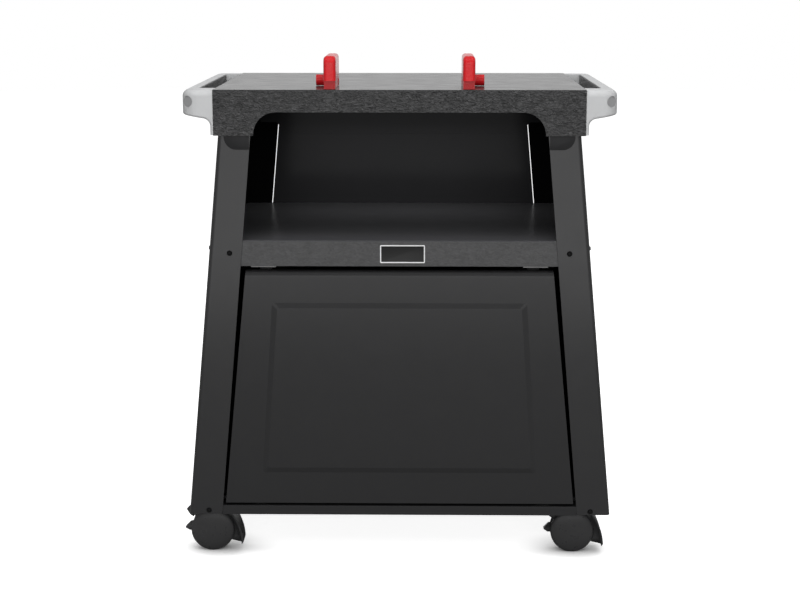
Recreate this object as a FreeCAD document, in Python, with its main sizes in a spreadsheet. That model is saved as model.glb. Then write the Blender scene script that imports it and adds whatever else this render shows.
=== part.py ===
"""Grill cart with storage: a sheet-steel cart with a hammered apron, four splayed corner legs,
an open upper bay, a lower cabinet with a drop-down door, two side handles, two flip levers on
the top and four twin-wheel casters, the front pair with rocker brakes.

Millimetres. +Z is up, the front faces -Y and the origin is on the floor under the middle.
"""
import FreeCAD, Part
import math
import os
import Sketcher

SIZES = {
    # table top and apron
    "top_width": 610.0,
    "top_depth": 480.0,
    "top_height": 804.5,
    "sheet": 1.5,
    "top_corner": 3.0,
    "apron_drop": 75.0,
    "apron_mid_drop": 36.7,
    "arch_half_width": 239.6,
    "arch_foot": 1.3,
    "apron_return": 18.0,
    "apron_hem": 12.0,
    # legs
    "leg_top_inset": 13.7,
    "leg_foot_half": 359.2,
    "leg_face_top": 53.6,
    "leg_face_foot": 56.3,
    "leg_depth": 84.0,
    "leg_bend": 7.0,
    "rear_leg_extra": 7.0,
    "foot_plate": 2.0,
    # panels
    "panel_setback": 14.0,
    "back_slit": 1.2,
    "floor_rise": 14.5,
    "lip_drop": 15.5,
    "lip_end_gap": 0.6,
    "corner_notch": 12.0,
    "shelf_height": 555.5,
    "shelf_flange": 28.0,
    "shelf_bend": 2.5,
    # cross rail
    "rail_height": 41.3,
    "rail_return": 20.0,
    "rail_end_inset": 18.0,
    "rear_rail_drop": 114.5,
    "rear_rail_inset": 25.8,
    "rear_rail_corner": 21.0,
    # door
    "door_face_setback": 3.5,
    "door_depth": 15.0,
    "door_wall": 1.2,
    "door_bottom_gap": 4.5,
    "door_top_gap": 8.2,
    "door_top_side_gap": 8.35,
    "door_foot_side_gap": 4.7,
    "door_roll": 10.0,
    "emboss_height": 3.0,
    "emboss_slope": 9.0,
    "emboss_top_gap": 54.0,
    "emboss_foot_gap": 54.5,
    "emboss_top_half": 213.0,
    "emboss_foot_half": 232.5,
    "emboss_corner": 14.0,
    "hinge_inset": 7.5,
    "hinge_pin_radius": 3.0,
    "hinge_fit": 0.05,
    "hinge_pin_length": 16.0,
    "bracket_gap": 5.2,
    "bracket_width": 15.0,
    "bracket_foot": 12.0,
    "bracket_rise": 22.0,
    "bracket_setback": 1.0,
    # magnet catches
    "catch_length": 44.0,
    "catch_depth": 13.0,
    "catch_height": 2.8,
    "catch_end_gap": 9.0,
    "catch_setback": 4.0,
    # handles
    "handle_flange": 5.0,
    "handle_reach": 52.0,
    "handle_end_gap": 1.0,
    "handle_horn": 41.0,
    "handle_foot_gap": 1.0,
    "handle_web_radius": 13.0,
    "handle_top_round": 11.0,
    "handle_foot_round": 4.0,
    "handle_corner": 25.0,
    "grip_width": 24.0,
    "grip_end": 45.0,
    "grip_notch": 14.0,
    "grip_corner": 8.0,
    "liner_sheet": 2.0,
    "liner_height": 37.0,
    "plug_angle": 37.0,
    "plug_radius": 9.0,
    "plug_fit": 0.3,
    "plug_length": 5.0,
    "plug_recess": 1.2,
    "plug_drop": 19.5,
    # screws
    "screw_head_radius": 4.6,
    "screw_crown_radius": 2.9,
    "screw_head_height": 3.0,
    "screw_shank_radius": 2.0,
    "screw_fit": 0.1,
    "screw_length": 6.0,
    "rail_screw_inset": 34.5,
    "rail_screw_drop": 21.0,
    "side_screw_inset": 24.0,
    "side_screw_drop": 15.5,
    "floor_screw_inset": 33.1,
    "floor_screw_rise": 6.0,
    "floor_screw_head": 2.6,
    "handle_screw_rise": 8.0,
    "handle_screw_middle": 60.0,
    "handle_screw_end": 60.0,
    "handle_screw_tip_gap": 0.65,
    "handle_web_gap": 0.4,
    # flip levers
    "lever_inner": 103.5,
    "lever_width": 20.3,
    "lever_cheek": 7.3,
    "lever_wall": 3.0,
    "lever_rise": 54.2,
    "lever_lift": 0.5,
    "lever_front_gap": 0.5,
    "lever_foot_band": 13.5,
    "lever_foot_step": 2.5,
    "lever_foot_inset": 0.7,
    "lever_axis_back": 104.0,
    "lever_hub_radius": 9.3,
    "lever_hub_length": 17.8,
    "lever_hub_wall": 3.0,
    "lever_front_round": 12.0,
    "lever_rear_round": 8.0,
    "lever_side_round": 6.0,
    "lever_pin_radius": 3.0,
    "lever_fit": 0.05,
    "lug_sheet": 5.0,
    "lug_radius": 7.0,
    "lug_foot": 24.0,
    "lug_slot_gap": 0.3,
    # casters
    "caster_side_inset": 46.0,
    "caster_inset": 65.5,
    "caster_trail": 13.4,
    "wheel_radius": 37.5,
    "wheel_width": 13.0,
    "wheel_gap": 0.5,
    "wheel_dome": 10.0,
    "wheel_dome_depth": 6.0,
    "wheel_edge": 1.5,
    "wheel_hub_radius": 11.0,
    "wheel_rim": 6.0,
    "wheel_recess": 6.0,
    "wheel_bore_depth": 9.0,
    "axle_radius": 4.0,
    "axle_fit": 0.05,
    "axle_end_gap": 0.5,
    "hood_web": 14.0,
    "hood_wrap": 61.5,
    "hood_centre_x": 45.0,
    "hood_centre_z": 26.0,
    "hood_wall": 3.0,
    "hood_foot": 20.0,
    "hood_crown": 2.7,
    "hood_back": 24.0,
    "hood_wheel_gap": 1.5,
    "stem_radius": 4.0,
    "stem_fit": 0.05,
    "stem_sink": 30.0,
    "stem_thread_radius": 5.0,
    "stem_collar_radius": 10.0,
    "stem_collar_gap": 0.3,
    "stem_collar_height": 3.5,
    "stem_thread_rise": 9.5,
    "nut_height": 8.0,
    "nut_flats": 17.0,
    # rocker brakes
    "pedal_pivot_x": 21.0,
    "pedal_pivot_z": 21.0,
    "pedal_arm": 6.0,
    "pedal_arm_gap": 0.2,
    "pedal_hub_radius": 6.0,
    "pedal_pin_radius": 2.0,
    "pedal_fit": 0.05,
    "pedal_reach": 42.5,
    "pedal_upper": 29.0,
    "pedal_upper_half": 9.0,
    "pedal_upper_depth": 10.0,
    "pedal_lower": 0.5,
    "pedal_lower_half": 6.5,
    "pedal_lower_depth": 13.0,
    "pedal_lobe_corner": 3.5,
    "pedal_lobe_width": 13.6,
}

doc = FreeCAD.newDocument("GrillCart")
sheet = doc.addObject("Spreadsheet::Sheet", "Sizes")
for row, (alias, number) in enumerate(SIZES.items(), start=1):
    sheet.set("A%d" % row, alias)
    sheet.set("B%d" % row, str(number))
    sheet.setAlias("B%d" % row, alias)
doc.recompute()


class Size:
    """A number with the spreadsheet expression that it comes from."""

    def __init__(self, number, text=None):
        self.number = float(number)
        self.text = text if text is not None else repr(float(number))
        self.constant = text is None

    def combined(self, other, sign, number):
        if self.constant and other.constant:
            return Size(number)
        return Size(number, "(%s %s %s)" % (self.text, sign, other.text))

    def __add__(self, other):
        other = as_size(other)
        return self.combined(other, "+", self.number + other.number)

    def __sub__(self, other):
        other = as_size(other)
        return self.combined(other, "-", self.number - other.number)

    def __mul__(self, other):
        other = as_size(other)
        return self.combined(other, "*", self.number * other.number)

    def __truediv__(self, other):
        other = as_size(other)
        return self.combined(other, "/", self.number / other.number)

    def __neg__(self):
        return self * -1

    __rmul__ = __mul__
    __radd__ = __add__

    def __rsub__(self, other):
        return as_size(other) - self


def as_size(value):
    return value if isinstance(value, Size) else Size(value)


class Sizes:
    """Every spreadsheet cell as a Size under its alias."""


s = Sizes()
for alias, number in SIZES.items():
    setattr(s, alias, Size(number, "Sizes." + alias))


def cosine(angle):
    return Size(math.cos(math.radians(angle.number)), "cos(%s * 1 deg)" % angle.text)


def sine(angle):
    return Size(math.sin(math.radians(angle.number)), "sin(%s * 1 deg)" % angle.text)


def bind(obj, prop, size):
    """Tie one property to its expression."""
    size = as_size(size)
    if size.constant:
        obj.setExpression(prop, repr(size.number))
    else:
        obj.setExpression(prop, size.text)


def vector(x, y, z):
    return FreeCAD.Vector(as_size(x).number, as_size(y).number, as_size(z).number)


def place(obj, x, y, z, rotation=None):
    """Put an object at a bound position with a fixed turn."""
    turn = rotation if rotation is not None else FreeCAD.Rotation()
    obj.Placement = FreeCAD.Placement(vector(x, y, z), turn)
    bind(obj, "Placement.Base.x", x)
    bind(obj, "Placement.Base.y", y)
    bind(obj, "Placement.Base.z", z)


sub_parts = []


def keep(obj, label):
    """Name a finished sub-part and put it on the list to export."""
    obj.Label = label
    sub_parts.append(obj)
    return obj


# Sketch and feature helpers. A slab on XY runs along Z, on XZ along Y and on YZ along X.

def new_body(name):
    return doc.addObject("PartDesign::Body", name)


def origin_plane(body, role):
    return [plane for plane in body.Origin.OriginFeatures if plane.Role == role][0]


def new_sketch(body, name, plane, offset):
    sketch = body.newObject("Sketcher::SketchObject", name)
    sketch.AttachmentSupport = (origin_plane(body, plane + "_Plane"), [""])
    sketch.MapMode = "FlatFace"
    bind(sketch, "AttachmentOffset.Base.z", offset)
    return sketch


def fix_point(sketch, geometry, point, x, y):
    """Hold one sketch point at bound coordinates."""
    for kind, size, axis in (("DistanceX", as_size(x), -2), ("DistanceY", as_size(y), -1)):
        if size.constant and size.number == 0:
            sketch.addConstraint(Sketcher.Constraint("PointOnObject", geometry, point, axis))
            continue
        index = sketch.addConstraint(Sketcher.Constraint(kind, -1, 1, geometry, point, size.number))
        if not size.constant:
            sketch.setExpression("Constraints[%d]" % index, size.text)


def axis_step(start, end):
    """The unit step along X or Y from one corner towards another."""
    along_x = as_size(end[0]).number - as_size(start[0]).number
    along_y = as_size(end[1]).number - as_size(start[1]).number
    if abs(along_x) > abs(along_y):
        return (1 if along_x > 0 else -1, 0)
    return (0, 1 if along_y > 0 else -1)


def tangent_points(corners, index):
    """Where the sides meet a corner's arc, or the corner itself twice if it is sharp."""
    corner = corners[index]
    if len(corner) == 2:
        return corner, corner
    x, y, radius = corner
    back = axis_step(corner, corners[index - 1])
    ahead = axis_step(corner, corners[(index + 1) % len(corners)])
    return (x + back[0] * radius, y + back[1] * radius), (x + ahead[0] * radius, y + ahead[1] * radius)


def corner_arc(sketch, corner, before, after, ends):
    """An arc in a square corner from the end of one side to the start of the next."""
    first, last = vector(ends[0][0], ends[0][1], 0), vector(ends[1][0], ends[1][1], 0)
    tip = vector(corner[0], corner[1], 0)
    middle = tip + (first + last - tip * 2) * (1 - math.sqrt(0.5))
    arc = sketch.addGeometry(Part.Arc(first, middle, last))
    to_first = [sketch.getPoint(arc, point).distanceToPoint(first) for point in (1, 2)]
    start, end = (1, 2) if to_first[0] < to_first[1] else (2, 1)
    sketch.addConstraint(Sketcher.Constraint("Coincident", before, 2, arc, start))
    sketch.addConstraint(Sketcher.Constraint("Coincident", after, 1, arc, end))
    index = sketch.addConstraint(Sketcher.Constraint("Radius", arc, corner[2].number))
    sketch.setExpression("Constraints[%d]" % index, corner[2].text)


def outline(body, name, plane, offset, corners):
    """A closed outline. A corner is (x, y), or (x, y, radius) where two square sides meet in an arc."""
    sketch = new_sketch(body, name, plane, offset)
    count = len(corners)
    ends = [tangent_points(corners, index) for index in range(count)]
    for index in range(count):
        start, stop = ends[index][1], ends[(index + 1) % count][0]
        sketch.addGeometry(Part.LineSegment(vector(start[0], start[1], 0), vector(stop[0], stop[1], 0)))
    for index, corner in enumerate(corners):
        before = (index - 1) % count
        fix_point(sketch, index, 1, ends[index][1][0], ends[index][1][1])
        if len(corner) == 3:
            fix_point(sketch, before, 2, ends[index][0][0], ends[index][0][1])
            corner_arc(sketch, corner, before, index, ends[index])
        else:
            sketch.addConstraint(Sketcher.Constraint("Coincident", before, 2, index, 1))
    return sketch


def ring(body, name, plane, offset, centre, radius):
    """A circle at a bound place."""
    sketch = new_sketch(body, name, plane, offset)
    sketch.addGeometry(Part.Circle(vector(centre[0], centre[1], 0), FreeCAD.Vector(0, 0, 1), radius.number))
    index = sketch.addConstraint(Sketcher.Constraint("Radius", 0, radius.number))
    sketch.setExpression("Constraints[%d]" % index, radius.text)
    fix_point(sketch, 0, 3, centre[0], centre[1])
    return sketch


def slab_start(plane, low, high, adds):
    """Where the sketch of a slab lies, because pads run along its normal and pockets against it."""
    if plane == "XZ":
        return -high if adds else -low
    return low if adds else high


def slab(body, name, plane, shape, start, end, adds=True):
    """A pad or pocket between two parallel planes. The shape is corners or (centre, radius)."""
    start, end = as_size(start), as_size(end)
    low, high = (start, end) if start.number < end.number else (end, start)
    offset = slab_start(plane, low, high, adds)
    if isinstance(shape, tuple):
        sketch = ring(body, name + "Sketch", plane, offset, shape[0], shape[1])
    else:
        sketch = outline(body, name + "Sketch", plane, offset, shape)
    feature = body.newObject("PartDesign::Pad" if adds else "PartDesign::Pocket", name)
    feature.Profile = sketch
    bind(feature, "Length", high - low)
    body.Tip = feature
    doc.recompute()
    return feature


def skin(body, name, plane, first, second, adds=True):
    """A straight-sided loft between two outlines, each (offset, corners)."""
    kind = "PartDesign::AdditiveLoft" if adds else "PartDesign::SubtractiveLoft"
    lower = outline(body, name + "Foot", plane, first[0], first[1])
    upper = outline(body, name + "Head", plane, second[0], second[1])
    feature = body.newObject(kind, name)
    feature.Profile = lower
    feature.Sections = [upper]
    feature.Ruled = True
    body.Tip = feature
    doc.recompute()
    return feature


def turned(body, name, corners):
    """A revolved solid about Z from a half profile of (radius, height) corners."""
    sketch = outline(body, name + "Sketch", "XZ", Size(0), corners)
    feature = body.newObject("PartDesign::Revolution", name)
    feature.Profile = sketch
    feature.ReferenceAxis = (sketch, ["V_Axis"])
    feature.Angle = 360
    body.Tip = feature
    doc.recompute()
    return feature


def rounded(body, name, spots, radius):
    """A fillet on each edge that passes through one of the spots."""
    base = body.Tip
    vertices = [Part.Vertex(vector(*spot)) for spot in spots]
    names = []
    for index, edge in enumerate(base.Shape.Edges, start=1):
        if any(edge.distToShape(vertex)[0] < 0.01 for vertex in vertices):
            names.append("Edge%d" % index)
    feature = body.newObject("PartDesign::Fillet", name)
    feature.Base = (base, names)
    bind(feature, "Radius", radius)
    body.Tip = feature
    doc.recompute()
    return feature


def rectangle(x_start, x_end, y_start, y_end):
    return [(x_start, y_start), (x_end, y_start), (x_end, y_end), (x_start, y_end)]


ALONG_X = FreeCAD.Rotation(FreeCAD.Vector(0, 1, 0), 90)
ALONG_Y = FreeCAD.Rotation(FreeCAD.Vector(1, 0, 0), -90)
AGAINST_Y = FreeCAD.Rotation(FreeCAD.Vector(1, 0, 0), 90)


def rod(name, turn, base, length, radius):
    """A plain cylinder from a base point along the turned axis."""
    obj = doc.addObject("Part::Cylinder", name)
    bind(obj, "Radius", radius)
    bind(obj, "Height", length)
    place(obj, base[0], base[1], base[2], turn)
    return obj


def block(name, base, size):
    """A plain box from its low corner."""
    obj = doc.addObject("Part::Box", name)
    bind(obj, "Length", size[0])
    bind(obj, "Width", size[1])
    bind(obj, "Height", size[2])
    place(obj, base[0], base[1], base[2])
    return obj


def cut(name, base, tool):
    obj = doc.addObject("Part::Cut", name)
    obj.Base = base
    obj.Tool = tool
    return obj


def joined(name, shapes):
    obj = doc.addObject("Part::MultiFuse", name)
    obj.Shapes = shapes
    return obj


def shared(name, shapes):
    obj = doc.addObject("Part::MultiCommon", name)
    obj.Shapes = shapes
    return obj


def grouped(name, shapes):
    obj = doc.addObject("Part::Compound", name)
    obj.Links = shapes
    return obj


# Planes and slopes that several pieces share.

half_width = s.top_width / 2
half_depth = s.top_depth / 2
top_underside = s.top_height - s.sheet
frame_top = top_underside - s.sheet
leg_plane = half_depth - s.sheet
panel_plane = leg_plane - s.sheet
inside_plane = panel_plane - s.sheet
hood_head = s.wheel_radius + s.hood_wheel_gap + s.hood_crown
hood_top = s.wheel_radius + hood_head
foot = hood_top + s.stem_collar_gap + s.stem_collar_height
floor_top = foot + s.floor_rise
stem_line = half_depth - s.caster_inset
caster_half = s.leg_foot_half - s.caster_side_inset
leg_top_half = half_width - s.leg_top_inset
leg_height = frame_top - foot


def leg_out(height):
    """Half width over the legs' outer faces at a height."""
    return s.leg_foot_half - (s.leg_foot_half - leg_top_half) * (height - foot) / leg_height


def leg_face(height):
    """Width of a leg's front face at a height."""
    return s.leg_face_foot - (s.leg_face_foot - s.leg_face_top) * (height - foot) / leg_height


def leg_in(height):
    """Half width between the front legs' inner edges at a height."""
    return leg_out(height) - leg_face(height)


def panel_in(height):
    """Half width between the side panels' inner faces at a height."""
    return leg_out(height) - s.sheet * 2


side_slope = math.degrees(math.atan2((s.leg_foot_half - leg_top_half).number, leg_height.number))
lip_foot = floor_top - s.lip_drop
shelf_under = s.shelf_height - s.sheet
rail_top = shelf_under
rail_foot = rail_top - s.rail_height
rail_screw_height = s.shelf_height - s.rail_screw_drop
rail_screw_half = leg_out(rail_screw_height) - s.rail_screw_inset
side_screw_height = s.shelf_height - s.side_screw_drop
floor_screw_height = foot + s.floor_screw_rise
floor_screw_half = leg_out(floor_screw_height) - s.floor_screw_inset
door_foot = floor_top + s.door_bottom_gap
door_head = rail_foot - s.door_top_gap
door_foot_half = leg_in(door_foot) - s.door_foot_side_gap
door_top_half = leg_in(door_head) - s.door_top_side_gap
door_face = half_depth - s.door_face_setback
door_back = door_face - s.door_depth
hinge_y = -(door_face - s.hinge_inset)
hinge_z = door_foot + s.hinge_inset


def door_half(height):
    """Half width of the door at a height."""
    rise = door_head - door_foot
    return door_foot_half - (door_foot_half - door_top_half) * (height - door_foot) / rise


# Table top and apron.

lever_middle = s.lever_inner + s.lever_width / 2
lever_axis_y = -half_depth + s.lever_axis_back
lever_axis_z = s.top_height + s.lever_hub_radius + s.lever_lift
lug_half = s.lug_sheet / 2 + s.lug_slot_gap
lug_slot_half = s.lug_radius + s.lug_slot_gap
apron_foot = s.top_height - s.apron_drop
handle_screw_height = apron_foot + s.handle_screw_rise


def table_top():
    body = new_body("TableTop")
    slab(body, "Plate", "XY", rectangle(-half_width, half_width, -half_depth, half_depth),
         top_underside, s.top_height)
    for side in (-1, 1):
        slab(body, "LugSlot%d" % (side + 1), "XY",
             rectangle(side * lever_middle - lug_half, side * lever_middle + lug_half,
                       lever_axis_y - lug_slot_half, lever_axis_y + lug_slot_half),
             frame_top, s.top_height + s.sheet, adds=False)
    middle = top_underside + s.sheet / 2
    corners = [(x * half_width, y * half_depth, middle) for x in (-1, 1) for y in (-1, 1)]
    rounded(body, "Corners", corners, s.top_corner)
    keep(body, "table_top")


def arched_apron(label, side):
    """Front or rear apron with the arch between its two deep corners."""
    body = new_body("Apron")
    middle = s.top_height - s.apron_mid_drop
    arch = s.arch_half_width
    arch_radius = s.apron_drop - s.apron_mid_drop - s.arch_foot
    corners = [(-half_width, apron_foot), (-arch, apron_foot), (-arch, middle), (arch, middle),
               (arch, apron_foot), (half_width, apron_foot),
               (half_width, top_underside), (-half_width, top_underside)]
    slab(body, "Face", "XZ", corners, side * half_depth, side * leg_plane)
    mid_sheet = side * (half_depth - s.sheet / 2)
    rounded(body, "Arch", [(-arch, mid_sheet, middle), (arch, mid_sheet, middle)], arch_radius)
    hem_half = arch - arch_radius
    hem_end = leg_plane - s.apron_hem
    if side < 0:
        slab(body, "Hem", "XY", rectangle(-hem_half, hem_half, side * leg_plane, side * hem_end),
             middle, middle + s.sheet)
    return_half = half_width - s.sheet - s.top_corner
    return_end = leg_plane - s.apron_return
    slab(body, "TopReturn", "XY", rectangle(-return_half, return_half, side * leg_plane, side * return_end),
         frame_top, top_underside)
    keep(body, label)


def side_apron(label, side):
    """Plain apron under a handle, with its screw holes."""
    body = new_body("SideApron")
    outer, inner = side * half_width, side * (half_width - s.sheet)
    slab(body, "Face", "YZ", rectangle(-leg_plane, leg_plane, apron_foot, top_underside), outer, inner)
    reach = leg_plane - s.apron_return - s.top_corner
    return_end = half_width - s.sheet - s.apron_return
    slab(body, "TopReturn", "XY", rectangle(inner, side * return_end, -reach, reach),
         frame_top, top_underside)
    screw_holes(body, side)
    keep(body, label)


def screw_holes(body, side):
    """Clearance holes for a handle's four screws."""
    radius = s.screw_shank_radius + s.screw_fit
    for index, y in enumerate(handle_screw_places()):
        slab(body, "ScrewHole%d" % index, "YZ", ((y, handle_screw_height), radius),
             side * (half_width - s.sheet * 2), side * (half_width + s.handle_flange * 2), adds=False)


def handle_screw_places():
    end = half_depth - s.handle_screw_end
    return [-end, -s.handle_screw_middle, s.handle_screw_middle, end]


# Legs.

def leg_corners(x_sign, y_sign, height, extra):
    """The angle section of a leg at a height."""
    out, face, wall = leg_out(height), leg_face(height) + extra, s.sheet
    near, far = leg_plane, leg_plane - s.leg_depth
    section = [(out, near, s.leg_bend), (out - face, near), (out - face, near - wall),
               (out - wall, near - wall, s.leg_bend - wall), (out - wall, far), (out, far)]
    return [(x_sign * point[0], y_sign * point[1]) + tuple(point[2:]) for point in section]


def leg(label, x_sign, y_sign):
    """One splayed leg: an angle of sheet with a rounded corner and a foot plate."""
    body = new_body("Leg")
    extra = s.rear_leg_extra if y_sign > 0 else Size(0)
    skin(body, "Angle", "XY", (foot, leg_corners(x_sign, y_sign, foot, extra)),
         (frame_top, leg_corners(x_sign, y_sign, frame_top, extra)))
    plate_far = leg_plane - s.leg_depth + s.sheet
    plate_in = s.leg_foot_half - s.leg_face_foot
    plate_out = panel_in(foot + s.foot_plate) - s.leg_bend
    slab(body, "FootPlate", "XY",
         rectangle(x_sign * plate_in, x_sign * plate_out, y_sign * panel_plane, y_sign * plate_far),
         foot, foot + s.foot_plate)
    slab(body, "StemHole", "XY",
         ((x_sign * caster_half, y_sign * stem_line), s.stem_thread_radius + s.screw_fit),
         foot - s.sheet, foot + s.foot_plate + s.sheet, adds=False)
    face_screw_holes(body, x_sign, y_sign)
    side_holes = side_hole_cutter("LegSideHole", x_sign, y_sign)
    keep(cut("LegCut", body, side_holes), label)


def face_screw_holes(body, x_sign, y_sign, upper=True, lower=True):
    """Holes for the screws through a leg's front or rear face."""
    radius = s.screw_shank_radius + s.screw_fit
    start, end = y_sign * half_depth, y_sign * (inside_plane - s.sheet)
    if upper:
        slab(body, "UpperHole", "XZ", ((x_sign * rail_screw_half, rail_screw_height), radius),
             start, end, adds=False)
    if lower:
        slab(body, "LowerHole", "XZ", ((x_sign * floor_screw_half, floor_screw_height), radius),
             start, end, adds=False)


def side_turn(x_sign):
    """The turn that points a cylinder's axis square out of a splayed side."""
    return FreeCAD.Rotation(FreeCAD.Vector(0, 1, 0), x_sign * 90 - side_slope * x_sign)


def side_hole_cutter(name, x_sign, y_sign):
    """The drill for a screw that runs square through the splayed side."""
    deep = s.screw_length * 3
    angle = Size(side_slope)
    x = leg_out(side_screw_height) - deep * cosine(angle) / 2
    z = side_screw_height - deep * sine(angle) / 2
    y = y_sign * (leg_plane - s.side_screw_inset)
    return rod(name, side_turn(x_sign), (x_sign * x, y, z), deep, s.screw_shank_radius + s.screw_fit)


# Panels.

def side_panel(label, side):
    """A splayed flat side sheet against the legs' inner faces."""
    body = new_body("SidePanel")
    low, high = foot, frame_top
    corners = [(side * (leg_out(low) - s.sheet), low), (side * panel_in(low), low),
               (side * panel_in(high), high), (side * (leg_out(high) - s.sheet), high)]
    reach = leg_plane - s.panel_setback
    slab(body, "Sheet", "XZ", corners, -reach, reach)
    cutters = [side_hole_cutter("PanelSideHole", side, y_sign) for y_sign in (-1, 1)]
    keep(cut("SidePanelCut", body, joined("PanelHoles", cutters)), label)


def back_panel():
    """The flat back sheet between the rear legs, with a narrow slit beside each leg."""
    body = new_body("BackPanel")
    low, high = floor_top + s.sheet, frame_top
    gap = s.rear_leg_extra + s.back_slit
    corners = [(-(leg_in(low) - gap), low), (leg_in(low) - gap, low),
               (leg_in(high) - gap, high), (-(leg_in(high) - gap), high)]
    slab(body, "Sheet", "XZ", corners, panel_plane, leg_plane)
    keep(body, "back_panel")


def trapezoid(low, high, low_half, high_half):
    return [(-low_half, low), (low_half, low), (high_half, high), (-high_half, high)]


def notched(half, depth, notch):
    """A rectangle with a square notch in each corner."""
    inner, near = half - notch, depth - notch
    return [(-half, -near), (-inner, -near), (-inner, -depth), (inner, -depth), (inner, -near), (half, -near),
            (half, near), (inner, near), (inner, depth), (-inner, depth), (-inner, near), (-half, near)]


def side_flange(body, name, side, top, drop, reach):
    """A splayed flange down from a shelf's side edge against the side panel."""
    low = top - drop
    corners = [(side * panel_in(low), low), (side * (panel_in(low) - s.sheet), low),
               (side * (panel_in(top) - s.sheet), top), (side * panel_in(top), top)]
    slab(body, name, "XZ", corners, -reach, reach)


def storage_shelf():
    """The floor of the upper bay, with a bent flange on each side and along the back."""
    body = new_body("StorageShelf")
    half = panel_in(s.shelf_height)
    reach = inside_plane - s.corner_notch
    slab(body, "Plate", "XY", notched(half, inside_plane, s.corner_notch), shelf_under, s.shelf_height)
    for side in (-1, 1):
        side_flange(body, "SideFlange%d" % (side + 1), side, s.shelf_height, s.shelf_flange, reach)
    rear_half = leg_out(s.shelf_height) - s.rail_end_inset
    flange_foot = s.shelf_height - s.shelf_flange
    slab(body, "RearFlange", "XZ", rectangle(-rear_half, rear_half, flange_foot, s.shelf_height),
         inside_plane, panel_plane)
    for side in (-1, 1):
        face_screw_holes(body, side, 1, lower=False)
    edges = [(-half, 0, s.shelf_height), (half, 0, s.shelf_height)]
    rounded(body, "Bends", edges, s.shelf_bend)
    holes = [side_hole_cutter("ShelfSideHole", x_sign, y_sign) for x_sign in (-1, 1) for y_sign in (-1, 1)]
    keep(cut("ShelfCut", body, joined("ShelfHoles", holes)), "storage_shelf")


def floor_panel():
    """The cabinet floor: a sheet with a lip down at the front and back and tabs behind the legs."""
    body = new_body("FloorPanel")
    under = floor_top - s.sheet
    slab(body, "Plate", "XY", notched(panel_in(floor_top), inside_plane, s.corner_notch), under, floor_top)
    tab_foot = foot + s.foot_plate + s.lip_end_gap
    tab_in = leg_in(floor_top) - s.corner_notch
    tab_out = floor_screw_half + s.corner_notch
    for y_sign in (-1, 1):
        extra = s.rear_leg_extra if y_sign > 0 else Size(0)
        name = "Front" if y_sign < 0 else "Rear"
        top_half = leg_in(floor_top) - extra - s.lip_end_gap
        foot_half = leg_in(lip_foot) - extra - s.lip_end_gap
        slab(body, name + "Edge", "XY",
             rectangle(-top_half, top_half, y_sign * inside_plane, y_sign * leg_plane),
             under, floor_top)
        slab(body, name + "Lip", "XZ", trapezoid(lip_foot, floor_top, foot_half, top_half),
             y_sign * leg_plane, y_sign * panel_plane)
        for side in (-1, 1):
            slab(body, name + "Tab%d" % (side + 1), "XZ",
                 rectangle(side * (tab_in - extra), side * tab_out, tab_foot, floor_top),
                 y_sign * panel_plane, y_sign * inside_plane)
            face_screw_holes(body, side, y_sign, upper=False)
    keep(body, "floor_panel")


def front_rail():
    """The hammered cross rail: a channel that runs on behind the legs' faces."""
    body = new_body("FrontRail")
    half = leg_out(rail_top) - s.rail_end_inset
    slab(body, "Face", "XZ", rectangle(-half, half, rail_foot, rail_top), -panel_plane, -inside_plane)
    return_half = leg_in(rail_top) - s.corner_notch
    return_end = inside_plane - s.rail_return
    for name, low in (("TopReturn", rail_top - s.sheet), ("FootReturn", rail_foot)):
        slab(body, name, "XY", rectangle(-return_half, return_half, -inside_plane, -return_end),
             low, low + s.sheet)
    for side in (-1, 1):
        face_screw_holes(body, side, -1, lower=False)
    keep(body, "front_rail")


def rear_rail():
    """The upper rear cross rail inside the back sheet, with its two lower corners cut off."""
    body = new_body("RearRail")
    low = s.top_height - s.rear_rail_drop
    end_low = low + s.rear_rail_corner
    foot_half = leg_in(low) - s.rear_rail_inset
    corner_half = foot_half + s.rear_rail_corner
    end = leg_out(frame_top) - s.rail_end_inset
    corners = [(-foot_half, low), (foot_half, low), (corner_half, end_low), (end, end_low),
               (end, frame_top), (-end, frame_top), (-end, end_low), (-corner_half, end_low)]
    slab(body, "Face", "XZ", corners, inside_plane, panel_plane)
    keep(body, "rear_rail")


# Door.

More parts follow.
